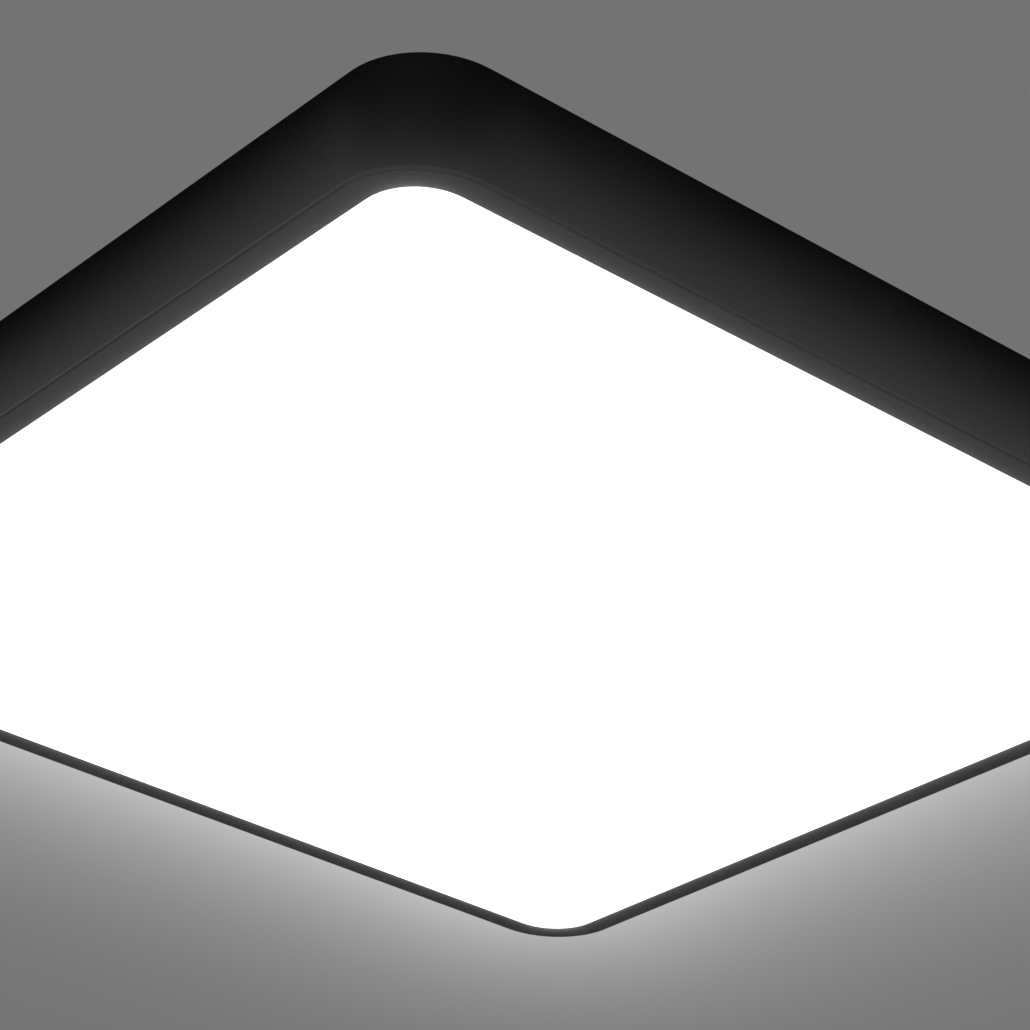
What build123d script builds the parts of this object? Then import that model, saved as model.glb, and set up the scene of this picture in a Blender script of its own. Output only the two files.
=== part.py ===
from build123d import *
import math
import os

os.makedirs("parts", exist_ok=True)

# Square flush-mount LED ceiling light. The origin is on the ceiling plane at the middle of the lamp
# and +Z is up, so everything hangs at negative Z. Lengths are in millimetres.

# Rim: an extruded aluminium profile bent round into a square with rounded corners
SIDE = 500.0
HEIGHT = 50.0
CORNER_RADIUS = 35.0
RIM_WALL = 1.2
BEZEL = 11.0
BEZEL_LIP = 1.4
EDGE_RADIUS = 1.6
EDGE_RADIUS_INSIDE = 0.4
RIM_CEILING_GAP = 0.5
RIB_REACH = 3.0
RIB_THICKNESS = 1.2
JOINT_PLATE_LENGTH = 60.0
JOINT_PLATE_THICKNESS = 1.5
JOINT_PLATE_MARGIN = 3.5
JOINT_PLATE_CORNER = 2.0
JOINT_X = 70.0
JOINT_RIVET_PITCH = 14.0

# Diffuser: a moulded opal tray whose flange lies on a gasket, held down by leaf retainers
DIFFUSER_SKIN = 2.0
DIFFUSER_RECESS = 0.2
DIFFUSER_EDGE_RADIUS = 0.5
WINDOW_GAP = 0.4
FLANGE_PLAY = 1.5
GASKET_THICKNESS = 0.8
GASKET_WIDTH = 4.5
GASKET_SETBACK = 1.0
RETAINER_SHEET = 0.5
RETAINER_WIDTH = 20.0
RETAINER_RISE = 3.0
RETAINER_FOOT = 3.5
RETAINER_BEND = 0.9
RETAINER_PITCH = 140.0

# Base pan: drawn steel sheet with a flange against the ceiling and a raised plate
PAN_SHEET = 1.0
PAN_CLEARANCE = 8.0
PAN_FLANGE = 14.0
PAN_SLOPE = 6.0
PAN_DEPTH = 12.0
PAN_BEND = 2.0
PAN_CORNER_RADIUS = 34.0
PLATE_LEDGE = 4.0
BEAD_WIDTH = 12.0
BEAD_HEIGHT = 2.5
BEAD_EDGE = 1.5
BEAD_GROOVE_EDGE = 1.0
BEAD_LENGTH = 210.0
SHORT_BEAD_LENGTH = 90.0

# Spring clips riveted under the pan flange, which catch below the upper rib of the rim
CLIP_SHEET = 0.6
CLIP_WIDTH = 22.0
CLIP_BASE = 10.5
CLIP_BEND = 1.5
CLIP_GAP = 0.25
NOSE_BITE = 1.7
NOSE_DROP = 18.0
TAIL_RUN = 7.0
TAIL_DROP = 7.0
RIVET_RADIUS = 1.6
RIVET_HEAD_RADIUS = 2.8
RIVET_HEAD_HEIGHT = 1.1
RIVET_HEAD_EDGE = 0.9
RIVET_PITCH = 12.0

# Ceiling bar: a steel channel with two screw slots and two clinched studs
BAR_WIDTH = 28.0
BAR_SHEET = 1.5
BAR_LIP = 6.0
BAR_END = 14.0
SLOT_SPACING = 120.0
SLOT_LENGTH = 22.0
SLOT_WIDTH = 5.5
STUD_RADIUS = 2.0
STUD_HEAD_RADIUS = 3.0
STUD_HEAD_HEIGHT = 0.9
STUD_TAIL = 2.0
STUD_CHAMFER = 0.5
LOCK_NUT_WIDTH = 7.0
LOCK_NUT_HEIGHT = 3.2
WASHER_RADIUS = 5.0
WASHER_THICKNESS = 0.8
THUMB_NUT_RADIUS = 8.0
THUMB_NUT_HEIGHT = 6.0
THUMB_NUT_HUB_RADIUS = 5.0
THUMB_NUT_HUB_HEIGHT = 2.5
THUMB_NUT_FLUTES = 12
FLUTE_RADIUS = 1.3

# Light-emitting boards in two square rings, with a lens over each emitter
BOARD_WIDTH = 20.0
BOARD_THICKNESS = 1.2
BOARD_MARGIN = 20.0
BOARD_CORNER = 2.0
RING_CORNER = 20.0
RING_SPACE = 25.0
LED_PITCH = 48.0
LED_LENGTH = 3.5
LED_WIDTH = 2.8
LED_HEIGHT = 0.7
LENS_RADIUS = 7.5
LENS_RIM = 1.2
LENS_HEIGHT = 5.8
LENS_DIMPLE = 1.4
LENS_CAVITY_RADIUS = 3.0
LENS_FEET = 3
LENS_FOOT_RADIUS = 0.9
LENS_FOOT_HEIGHT = 0.5
LENS_FOOT_INSET = 1.8
PLUG_LENGTH = 8.0
PLUG_WIDTH = 7.0
PLUG_HEIGHT = 4.0
PLUG_KEY_LENGTH = 4.0
PLUG_KEY_WIDTH = 3.5
PLUG_KEY_DEPTH = 0.5

# Driver: a two-part plastic case with a circuit board inside
DRIVER_LENGTH = 130.0
DRIVER_WIDTH = 46.0
DRIVER_HEIGHT = 24.0
DRIVER_WALL = 1.6
DRIVER_CORNER = 3.0
DRIVER_EDGE = 1.5
DRIVER_Y = 38.0
EAR_LENGTH = 11.0
EAR_WIDTH = 12.0
EAR_ROOT = 5.5
VENT_COUNT = 6
VENT_PITCH = 4.5
VENT_LENGTH = 22.0
VENT_WIDTH = 2.0
VENT_INSET = 9.0
PANEL_LENGTH = 46.0
PANEL_WIDTH = 26.0
PANEL_DEPTH = 0.3
LATCH_WIDTH = 6.0
LATCH_HEIGHT = 1.6
LATCH_PITCH = 70.0
MAINS_SPACING = 11.0
RAIL_HEIGHT = 3.0
RAIL_WIDTH = 2.0
CIRCUIT_THICKNESS = 1.6
CIRCUIT_PLAY = 0.5
TRANSFORMER_LENGTH = 26.0
TRANSFORMER_WIDTH = 22.0
TRANSFORMER_HEIGHT = 13.0
TRANSFORMER_CHEEK = 6.5
TRANSFORMER_EDGE = 1.6
CAPACITOR_RADIUS = 5.0
CAPACITOR_HEIGHT = 14.0
CAPACITOR_PITCH = 12.0
CAPACITOR_EDGE = 0.8

# Three-pole lever terminal beside the cable grommet
TERMINAL_X = -28.0
TERMINAL_Y = -42.0
TERMINAL_DEPTH = 26.0
TERMINAL_HEIGHT = 14.0
POLE_PITCH = 7.0
POLE_WALL = 1.2
LEVER_LENGTH = 13.0
LEVER_THICKNESS = 2.4
LEVER_CAM_RADIUS = 3.2
LEVER_INSET = 0.4
LEVER_PLAY = 0.4
LEVER_PIN_RADIUS = 1.0
LEVER_TIP_EDGE = 0.8
WIRE_ENTRY_RADIUS = 1.4
WIRE_ENTRY_DEPTH = 9.0
WIRE_FUNNEL_RADIUS = 2.2
WIRE_FUNNEL_DEPTH = 1.2
TEST_SLOT_LENGTH = 2.4
TEST_SLOT_WIDTH = 1.2
TEST_SLOT_DEPTH = 3.0
TERMINAL_EAR = 7.0
TERMINAL_EAR_THICKNESS = 2.0
GROMMET_X = 18.0
GROMMET_BORE_RADIUS = 4.5
GROMMET_NECK_RADIUS = 8.0
GROMMET_FLANGE_RADIUS = 10.5
GROMMET_FLANGE_THICKNESS = 2.2
EARTH_X = -62.0
EARTH_Y = -76.0
EARTH_TAG_RADIUS = 4.2
EARTH_TAG_THICKNESS = 0.8
EARTH_NECK = 4.0
EARTH_BARREL_LENGTH = 6.0

# Leads and small screws
LEAD_RADIUS = 1.1
LEAD_SPACING = 2.6
LEAD_BEND = 8.0
LEAD_LOOP = 11.0
LEAD_LAP = 4.0
SCREW_RADIUS = 1.45
SCREW_HEAD_RADIUS = 2.8
SCREW_HEAD_HEIGHT = 1.8
SCREW_HEAD_EDGE = 1.1
SCREW_GRIP = 3.0

# Clearances: snug round parts in their holes, and free parts beside each other
FIT = 0.05
LOOSE = 0.3

# Depths that several pieces share
rim_half = SIDE / 2
rim_inner = rim_half - RIM_WALL
rib_tip = rim_inner - RIB_REACH
window_half = rim_half - BEZEL
lip_z = -HEIGHT + BEZEL_LIP
flange_z = lip_z + GASKET_THICKNESS
flange_top_z = flange_z + DIFFUSER_SKIN
retainer_rib_z = flange_top_z + RETAINER_RISE
pan_half = rib_tip - PAN_CLEARANCE
plate_half = pan_half - PAN_FLANGE - PAN_SLOPE
plate_z = -PAN_DEPTH - PAN_SHEET
board_z = plate_z - BOARD_THICKNESS
lead_z = board_z - PLUG_HEIGHT / 2

# Plan places that several pieces share
outer_ring = plate_half - BOARD_MARGIN - BOARD_WIDTH / 2
inner_ring = DRIVER_LENGTH / 2 + RING_SPACE + BOARD_WIDTH / 2
stud_x = (outer_ring + inner_ring) / 2
feed_y = LED_PITCH / 2
RINGS = {"outer": outer_ring, "inner": inner_ring}
SIDES = {"front": 0, "right": 90, "back": 180, "left": 270}

nodes = {}


def rounded_square(half, radius, z):
    """A square face with rounded corners, lying flat at a height."""
    return Pos(0, 0, z) * RectangleRounded(2 * half, 2 * half, radius)


def slab(half, radius, low, high):
    """A flat square plate with rounded corners between two heights."""
    return extrude(rounded_square(half, radius, low), amount=high - low, dir=(0, 0, 1))


def concentric(half):
    """The corner radius at a half side that keeps an even distance from the rim's outer face."""
    return CORNER_RADIUS - (rim_half - half)


def around(profile, half, radius):
    """Sweep a profile round a square path. Its x runs inwards from the path and its y is height."""
    path = RectangleRounded(2 * half, 2 * half, radius).wire()
    tangent = path % 0
    inwards = Vector(0, 0, 1).cross(tangent)
    if inwards.dot(path @ 0) > 0:
        inwards = -inwards
    start = Plane(origin=path @ 0, x_dir=inwards, z_dir=inwards.cross(Vector(0, 0, 1)))
    return sweep(start * profile, path=path)


def bent_strip(points, bend, width, thickness):
    """Sheet strip along a bent line in the XZ plane, centred on Y."""
    path = FilletPolyline(*[(x, 0, z) for x, z in points], radius=bend)
    start = Plane(origin=path @ 0, x_dir=(0, 1, 0), z_dir=path % 0)
    return sweep(start * Rectangle(width, thickness), path=path)


def lead(points, bend):
    """Round insulated wire along straight runs joined by arcs."""
    path = Line(*points) if len(points) == 2 else FilletPolyline(*points, radius=bend)
    start = Plane(origin=path @ 0, z_dir=path % 0)
    return sweep(start * Circle(LEAD_RADIUS), path=path)


def disc(x, y, radius, low, high):
    """Upright cylinder between two heights."""
    return Pos(x, y, low) * extrude(Circle(radius), amount=high - low)


def screw(x, y, seat_z, length):
    """Pan-head screw whose head hangs below its seat and whose shank goes up from it."""
    head = disc(x, y, SCREW_HEAD_RADIUS, seat_z - SCREW_HEAD_HEIGHT, seat_z)
    head = fillet(head.faces().sort_by(Axis.Z)[0].edges(), SCREW_HEAD_EDGE)
    return head + disc(x, y, SCREW_RADIUS, seat_z, seat_z + length)


def rivet(grip):
    """Rivet with its round head below the origin, set flush at the far end of its grip."""
    head = disc(0, 0, RIVET_HEAD_RADIUS, -RIVET_HEAD_HEIGHT, 0)
    head = fillet(head.faces().sort_by(Axis.Z)[0].edges(), RIVET_HEAD_EDGE)
    return head + disc(0, 0, RIVET_RADIUS, 0, grip)


def quarter_turns(solid):
    """Four copies of a solid, one for each side of the lamp."""
    return [Rot(0, 0, turn) * solid for turn in SIDES.values()]


def led_places(ring):
    """Distances along a board at which its emitters sit, evenly each side of its middle."""
    room = ring - RING_CORNER - PLUG_LENGTH - LENS_RADIUS - FIT
    each_side = int(room / LED_PITCH)
    return [k * LED_PITCH for k in range(-each_side, each_side + 1)]


def board_screw_places(ring):
    """Distances along a board of its two screws, in the outermost gaps between emitters."""
    reach = max(led_places(ring)) - LED_PITCH / 2
    return [-reach, reach]


# Rim with its two ribs. The upper rib sits just above the spring clips' upper slope.
clip_bend_x = pan_half - LOOSE
clip_base_z = -PAN_SHEET - CLIP_SHEET / 2
nose_x = rib_tip + NOSE_BITE
slope = (-NOSE_DROP - clip_base_z) / (nose_x - clip_bend_x)
slope_lift = (CLIP_SHEET / 2 + CLIP_GAP) * math.hypot(1, slope)
catch_rib_z = clip_base_z + slope * (rib_tip - clip_bend_x) + slope_lift


def rim_profile():
    """Section of the extrusion: x inwards from the outer face, y up from the ceiling plane."""
    low_left = (Align.MIN, Align.MIN)
    wall = Pos(0, -HEIGHT) * Rectangle(RIM_WALL, HEIGHT - RIM_CEILING_GAP, align=low_left)
    lip = Pos(0, -HEIGHT) * Rectangle(BEZEL, BEZEL_LIP, align=low_left)
    rib = Rectangle(RIM_WALL + RIB_REACH, RIB_THICKNESS, align=low_left)
    profile = wall + lip + Pos(0, catch_rib_z) * rib + Pos(0, retainer_rib_z) * rib
    inner_corner = profile.vertices().sort_by_distance((RIM_WALL, lip_z))[0]
    profile = fillet(inner_corner, EDGE_RADIUS_INSIDE)
    outer_corner = profile.vertices().sort_by_distance((0, -HEIGHT))[0]
    return fillet(outer_corner, EDGE_RADIUS)


# Plate behind the rim's butt joint on the back side, between the two ribs, with a row of flush rivets
rib_space_low = retainer_rib_z + RIB_THICKNESS
joint_z = (catch_rib_z + rib_space_low) / 2
joint_height = catch_rib_z - rib_space_low - 2 * JOINT_PLATE_MARGIN
joint_seat_y = rim_inner - JOINT_PLATE_THICKNESS
rivet_steps = (-1.5, -0.5, 0.5, 1.5)
joint_rivet_places = [
    Pos(JOINT_X + step * JOINT_RIVET_PITCH, joint_seat_y, joint_z) * Rot(-90, 0, 0) for step in rivet_steps
]
joint_grip = JOINT_PLATE_THICKNESS + RIM_WALL


def rivet_holes(solid):
    """Cut the joint's rivet holes through a solid."""
    for place in joint_rivet_places:
        solid -= place * disc(0, 0, RIVET_RADIUS + FIT, 0, joint_grip)
    return solid


def joint_plate():
    """Flat plate against the inside of the rim's wall."""
    outline = RectangleRounded(JOINT_PLATE_LENGTH, joint_height, JOINT_PLATE_CORNER)
    plate = Rot(-90, 0, 0) * extrude(outline, amount=JOINT_PLATE_THICKNESS)
    return rivet_holes(Pos(JOINT_X, joint_seat_y, joint_z) * plate)


nodes["rim"] = rivet_holes(around(rim_profile(), rim_half, CORNER_RADIUS))
nodes["rim_joint_plate"] = joint_plate()
nodes["rim_joint_rivets"] = [place * rivet(joint_grip) for place in joint_rivet_places]


# Diffuser tray, gasket and leaf retainers
def diffuser():
    """Flat lit field, a step up round it, and the flange that lies on the gasket."""
    field_half = window_half - WINDOW_GAP
    step_half = field_half - DIFFUSER_SKIN
    flange_half = rim_inner - FLANGE_PLAY
    field_z = -HEIGHT + DIFFUSER_RECESS
    field = slab(field_half, concentric(field_half), field_z, flange_top_z)
    well = slab(step_half, concentric(step_half), field_z + DIFFUSER_SKIN, flange_top_z)
    flange = slab(flange_half, concentric(flange_half), flange_z, flange_top_z)
    tray = field + flange - well
    rim_edges = tray.faces().sort_by(Axis.Z)[0].edges()
    return fillet(rim_edges, DIFFUSER_EDGE_RADIUS)


def gasket():
    """Flat foam ring between the bezel lip and the diffuser flange."""
    inner = window_half + GASKET_SETBACK
    outer = inner + GASKET_WIDTH
    ring = slab(outer, concentric(outer), lip_z, flange_z)
    return ring - slab(inner, concentric(inner), lip_z, flange_z)


def retainer():
    """Sheet leaf wedged between the lower rib and the diffuser flange."""
    upper_z = retainer_rib_z - RETAINER_SHEET / 2
    foot_z = flange_top_z + RETAINER_SHEET / 2
    foot_end = window_half - WINDOW_GAP - DIFFUSER_SKIN + LOOSE
    points = [
        (rim_inner - LOOSE, upper_z),
        (rib_tip - LOOSE, upper_z),
        (foot_end + RETAINER_FOOT, foot_z),
        (foot_end, foot_z),
    ]
    return bent_strip(points, RETAINER_BEND, RETAINER_WIDTH, RETAINER_SHEET)


nodes["diffuser"] = diffuser()
nodes["diffuser_gasket"] = gasket()
leaves = [Pos(0, k * RETAINER_PITCH, 0) * retainer() for k in (-1, 0, 1)]
nodes["diffuser_retainers"] = [copy for leaf in leaves for copy in quarter_turns(leaf)]


# Ceiling bar, studs and the nuts that hold the pan up
def ceiling_bar():
    """Channel of folded sheet with its web against the ceiling."""
    length = 2 * (stud_x + BAR_END)
    web = Pos(0, 0, -BAR_LIP / 2) * Box(length, BAR_WIDTH, BAR_LIP)
    channel_width = BAR_WIDTH - 2 * BAR_SHEET
    folds = web.edges().filter_by(Axis.X).group_by(Axis.Z)[-1]
    bar = fillet(folds, BAR_SHEET)
    bar -= Pos(0, 0, -BAR_SHEET - BAR_LIP / 2) * Box(length, channel_width, BAR_LIP)
    for x in (-SLOT_SPACING / 2, SLOT_SPACING / 2):
        bar -= Pos(x, 0, -BAR_SHEET) * extrude(SlotOverall(SLOT_LENGTH, SLOT_WIDTH), amount=BAR_SHEET)
    for x in (-stud_x, stud_x):
        bar -= disc(x, 0, STUD_RADIUS + FIT, -BAR_SHEET, 0)
        bar -= disc(x, 0, STUD_HEAD_RADIUS + FIT, -STUD_HEAD_HEIGHT, 0)
    return bar


washer_z = plate_z - WASHER_THICKNESS
thumb_nut_z = washer_z - FIT
stud_end_z = thumb_nut_z - THUMB_NUT_HUB_HEIGHT - THUMB_NUT_HEIGHT - STUD_TAIL


def stud(x):
    """Stud with a flat head let into the bar, pointing down."""
    head = disc(x, 0, STUD_HEAD_RADIUS, -STUD_HEAD_HEIGHT, 0)
    shank = disc(x, 0, STUD_RADIUS, stud_end_z, -STUD_HEAD_HEIGHT)
    shank = chamfer(shank.faces().sort_by(Axis.Z)[0].edges(), STUD_CHAMFER)
    return head + shank


def lock_nut(x):
    """Hexagon nut tightened against the bar's web."""
    hexagon = RegularPolygon(LOCK_NUT_WIDTH / 2, 6, major_radius=False) - Circle(STUD_RADIUS + FIT)
    return Pos(x, 0, -BAR_SHEET - LOCK_NUT_HEIGHT) * extrude(hexagon, amount=LOCK_NUT_HEIGHT)


def washer(x):
    """Flat washer between the pan and the thumb nut."""
    ring = disc(x, 0, WASHER_RADIUS, washer_z, plate_z)
    return ring - disc(x, 0, STUD_RADIUS + FIT, washer_z, plate_z)


def thumb_nut(x):
    """Fluted nut with a plain hub towards the washer."""
    grip_z = thumb_nut_z - THUMB_NUT_HUB_HEIGHT
    hub = disc(x, 0, THUMB_NUT_HUB_RADIUS, grip_z, thumb_nut_z)
    grip = disc(x, 0, THUMB_NUT_RADIUS, grip_z - THUMB_NUT_HEIGHT, grip_z)
    grip = chamfer(grip.edges().filter_by(GeomType.CIRCLE), FLUTE_RADIUS / 2)
    flutes = PolarLocations(THUMB_NUT_RADIUS + FLUTE_RADIUS / 2, THUMB_NUT_FLUTES)
    for place in flutes:
        flute = place * extrude(Circle(FLUTE_RADIUS), amount=THUMB_NUT_HEIGHT)
        grip -= Pos(x, 0, grip_z - THUMB_NUT_HEIGHT) * flute
    return hub + grip - disc(x, 0, STUD_RADIUS + FIT, grip_z - THUMB_NUT_HEIGHT, thumb_nut_z)


nodes["ceiling_bar"] = ceiling_bar()
nodes["bar_studs"] = [stud(-stud_x), stud(stud_x)]
nodes["stud_lock_nuts"] = [lock_nut(-stud_x), lock_nut(stud_x)]
nodes["pan_washers"] = [washer(-stud_x), washer(stud_x)]
nodes["thumb_nut_left"] = thumb_nut(-stud_x)
nodes["thumb_nut_right"] = thumb_nut(stud_x)


# Holes in the pan, each taken from the piece that goes through it
terminal_half_width = (3 * POLE_PITCH + POLE_WALL) / 2
ear_y = terminal_half_width + TERMINAL_EAR / 2
terminal_screws = [(TERMINAL_X, TERMINAL_Y - ear_y), (TERMINAL_X, TERMINAL_Y + ear_y)]
ear_x = DRIVER_LENGTH / 2 + EAR_LENGTH / 2
ear_offset = DRIVER_WIDTH / 2 - EAR_WIDTH / 2
driver_screws = [(-ear_x, DRIVER_Y - ear_offset), (ear_x, DRIVER_Y + ear_offset)]
small_screws = terminal_screws + driver_screws + [(EARTH_X, EARTH_Y)]
rivet_x = clip_bend_x - CLIP_BASE / 2


def base_pan():
    """Drawn pan: ceiling flange, sloping wall, plate with pressed beads, and its holes."""
    wall_end = PAN_FLANGE + PAN_SLOPE
    middle_z = plate_z + PAN_SHEET / 2
    fold = FilletPolyline(
        (0, -PAN_SHEET / 2),
        (PAN_FLANGE, -PAN_SHEET / 2),
        (wall_end, middle_z),
        (wall_end + PLATE_LEDGE, middle_z),
        radius=PAN_BEND + PAN_SHEET / 2,
    )
    upper = fold.offset_2d(PAN_SHEET / 2, side=Side.LEFT, closed=False)
    lower = fold.offset_2d(PAN_SHEET / 2, side=Side.RIGHT, closed=False)
    ends = [Line(upper @ 0, lower @ 1), Line(upper @ 1, lower @ 0)]
    section = make_face([upper.edges(), lower.edges(), ends])
    pan = around(section, pan_half, PAN_CORNER_RADIUS)
    ledge_half = pan_half - wall_end - PLATE_LEDGE
    pan += slab(ledge_half, PAN_CORNER_RADIUS - wall_end - PLATE_LEDGE, plate_z, -PAN_DEPTH)
    long_beads = [(0, -stud_x, BEAD_LENGTH, 0), (0, stud_x, BEAD_LENGTH, 0)]
    short_y = SHORT_BEAD_LENGTH / 2 + BAR_WIDTH
    short_beads = []
    for x in (-stud_x, stud_x):
        short_beads += [(x, -short_y, SHORT_BEAD_LENGTH, 90), (x, short_y, SHORT_BEAD_LENGTH, 90)]
    groove_width = BEAD_WIDTH - 2 * PAN_SHEET
    for x, y, length, turn in long_beads + short_beads:
        ridge = extrude(SlotOverall(length, BEAD_WIDTH), amount=BEAD_HEIGHT)
        ridge = fillet(ridge.faces().sort_by(Axis.Z)[-1].edges(), BEAD_EDGE)
        groove = extrude(SlotOverall(length - 2 * PAN_SHEET, groove_width), amount=BEAD_HEIGHT)
        groove = fillet(groove.faces().sort_by(Axis.Z)[-1].edges(), BEAD_GROOVE_EDGE)
        pan += Pos(x, y, -PAN_DEPTH) * Rot(0, 0, turn) * ridge
        pan -= Pos(x, y, plate_z) * Rot(0, 0, turn) * groove
    for ring in RINGS.values():
        for along in board_screw_places(ring):
            hole = disc(along, -ring, SCREW_RADIUS + FIT, plate_z, -PAN_DEPTH)
            for copy in quarter_turns(hole):
                pan -= copy
    for x, y in small_screws:
        pan -= disc(x, y, SCREW_RADIUS + FIT, plate_z, -PAN_DEPTH)
    for x in (-stud_x, stud_x):
        pan -= disc(x, 0, STUD_RADIUS + LOOSE, plate_z, -PAN_DEPTH)
    for y in (-RIVET_PITCH / 2, RIVET_PITCH / 2):
        for copy in quarter_turns(disc(rivet_x, y, RIVET_RADIUS + FIT, -PAN_SHEET, 0)):
            pan -= copy
    return pan - disc(GROMMET_X, TERMINAL_Y, GROMMET_NECK_RADIUS + FIT, plate_z, -PAN_DEPTH)


nodes["base_pan"] = base_pan()


# Spring clips at the middle of each side and their flush rivets
def spring_clip():
    """Riveted foot, slope out to the nose, and a tail that leads the rim's rib in."""
    points = [
        (clip_bend_x - CLIP_BASE, clip_base_z),
        (clip_bend_x, clip_base_z),
        (nose_x, -NOSE_DROP),
        (nose_x - TAIL_RUN, -NOSE_DROP - TAIL_DROP),
    ]
    clip = bent_strip(points, CLIP_BEND, CLIP_WIDTH, CLIP_SHEET)
    for y in (-RIVET_PITCH / 2, RIVET_PITCH / 2):
        clip -= disc(rivet_x, y, RIVET_RADIUS + FIT, clip_base_z - CLIP_SHEET, -PAN_SHEET)
    return clip


for name, turn in SIDES.items():
    nodes["spring_clip_" + name] = Rot(0, 0, turn - 90) * spring_clip()
clip_rivets = []
for y in (-RIVET_PITCH / 2, RIVET_PITCH / 2):
    clip_rivets += quarter_turns(Pos(rivet_x, y, -PAN_SHEET - CLIP_SHEET) * rivet(PAN_SHEET + CLIP_SHEET))
nodes["clip_rivets"] = clip_rivets


# Light-emitting boards. Each is drawn along X on the front side and turned to its own side.
def board(ring):
    """Aluminium-backed strip with two screw holes."""
    half_length = ring - RING_CORNER
    strip = Pos(0, -ring, board_z) * extrude(
        RectangleRounded(2 * half_length, BOARD_WIDTH, BOARD_CORNER), amount=BOARD_THICKNESS
    )
    for along in board_screw_places(ring):
        strip -= disc(along, -ring, SCREW_RADIUS + 2 * FIT, board_z, plate_z)
    return strip


def emitter(along, ring):
    """Square emitter package on the board's face."""
    return Pos(along, -ring, board_z - LED_HEIGHT / 2) * Box(LED_LENGTH, LED_WIDTH, LED_HEIGHT)


def lens(along, ring):
    """Spreading lens: a dome with a dimple, hollow over the emitter, that stands on small round feet."""
    shoulder = LENS_HEIGHT - LENS_RIM
    crest = LENS_RADIUS - shoulder
    dimple_radius = (crest**2 + LENS_DIMPLE**2) / (2 * LENS_DIMPLE)
    dimple_z = LENS_HEIGHT - LENS_DIMPLE
    dimple_angle = math.degrees(math.asin(crest / dimple_radius))
    edges = [
        Line((LENS_RADIUS, 0), (LENS_RADIUS, LENS_RIM)),
        CenterArc((crest, LENS_RIM), shoulder, 0, 90),
        CenterArc((0, dimple_z + dimple_radius), dimple_radius, -90, dimple_angle),
        Line((0, dimple_z), (0, LENS_CAVITY_RADIUS)),
        CenterArc((0, 0), LENS_CAVITY_RADIUS, 0, 90),
        Line((LENS_CAVITY_RADIUS, 0), (LENS_RADIUS, 0)),
    ]
    section = Plane.XZ * make_face(edges)
    dome = revolve(section, axis=Axis.Z)
    foot = Pos(0, 0, -LENS_FOOT_HEIGHT / 2) * Cylinder(LENS_FOOT_RADIUS, LENS_FOOT_HEIGHT)
    for place in PolarLocations(LENS_RADIUS - LENS_FOOT_INSET, LENS_FEET):
        dome += place * foot
    return Pos(along, -ring, board_z - LENS_FOOT_HEIGHT) * Rot(180, 0, 0) * dome


def plug(x, y, turn):
    """Wire connector on a board's face, with its wire side flush with the board's end."""
    block = Pos(-PLUG_LENGTH / 2, 0, -PLUG_HEIGHT / 2) * Box(PLUG_LENGTH, PLUG_WIDTH, PLUG_HEIGHT)
    key = Pos(-PLUG_LENGTH / 2, 0, -PLUG_HEIGHT) * Box(PLUG_KEY_LENGTH, PLUG_KEY_WIDTH, 2 * PLUG_KEY_DEPTH)
    return Pos(x, y, board_z) * Rot(0, 0, turn) * (block - key)


emitters = []
plugs = []
board_screws = []
for ring_name, ring in RINGS.items():
    end = ring - RING_CORNER
    front_emitters = [emitter(along, ring) for along in led_places(ring)]
    front_lenses = [lens(along, ring) for along in led_places(ring)]
    front_plugs = [plug(end, -ring, 0), plug(-end, -ring, 180)]
    front_screws = [screw(along, -ring, board_z, SCREW_GRIP) for along in board_screw_places(ring)]
    for side_name, turn in SIDES.items():
        place = Rot(0, 0, turn)
        nodes[f"{ring_name}_board_{side_name}"] = place * board(ring)
        nodes[f"{ring_name}_lenses_{side_name}"] = [place * one for one in front_lenses]
        emitters += [place * one for one in front_emitters]
        plugs += [place * one for one in front_plugs]
        board_screws += [place * one for one in front_screws]
inner_edge = inner_ring - BOARD_WIDTH / 2
inner_far_edge = inner_ring + BOARD_WIDTH / 2
outer_edge = outer_ring - BOARD_WIDTH / 2
edge_plug_depth = BOARD_WIDTH / 2 - SCREW_HEAD_RADIUS - LOOSE


def edge_plug(x, turn):
    """Shorter connector on a board's long edge for the feed and the link between the rings."""
    block = Box(edge_plug_depth, PLUG_WIDTH, PLUG_HEIGHT)
    return Pos(x, feed_y, lead_z) * Rot(0, 0, turn) * Pos(-edge_plug_depth / 2, 0, 0) * block


plugs += [edge_plug(inner_edge, 180), edge_plug(inner_far_edge, 0), edge_plug(outer_edge, 180)]
nodes["led_emitters"] = emitters
nodes["board_plugs"] = plugs
nodes["board_screws"] = board_screws


# Low-voltage leads: ring jumpers round three corners, the feed from the driver and the ring link
def jumper(ring, offset):
    """Quarter-circle wire from the end of one board to the start of the next."""
    end = ring - RING_CORNER
    arc = CenterArc((end, -end, lead_z), RING_CORNER + offset, -90, 90)
    start = Plane(origin=arc @ 0, z_dir=arc % 0)
    return sweep(start * Circle(LEAD_RADIUS), path=arc)


half_spacing = LEAD_SPACING / 2
driver_end = DRIVER_LENGTH / 2
for colour, offset in {"red": half_spacing, "black": -half_spacing}.items():
    corners = [Rot(0, 0, turn) * jumper(ring, offset) for ring in RINGS.values() for turn in (0, 90, 180)]
    nodes[f"board_jumpers_{colour}"] = corners
    y = feed_y + offset
    feed = lead([(driver_end - LEAD_LAP, y, lead_z), (inner_edge, y, lead_z)], 0)
    link = lead([(inner_far_edge, y, lead_z), (outer_edge, y, lead_z)], 0)
    nodes[f"feed_leads_{colour}"] = [feed, link]


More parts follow.
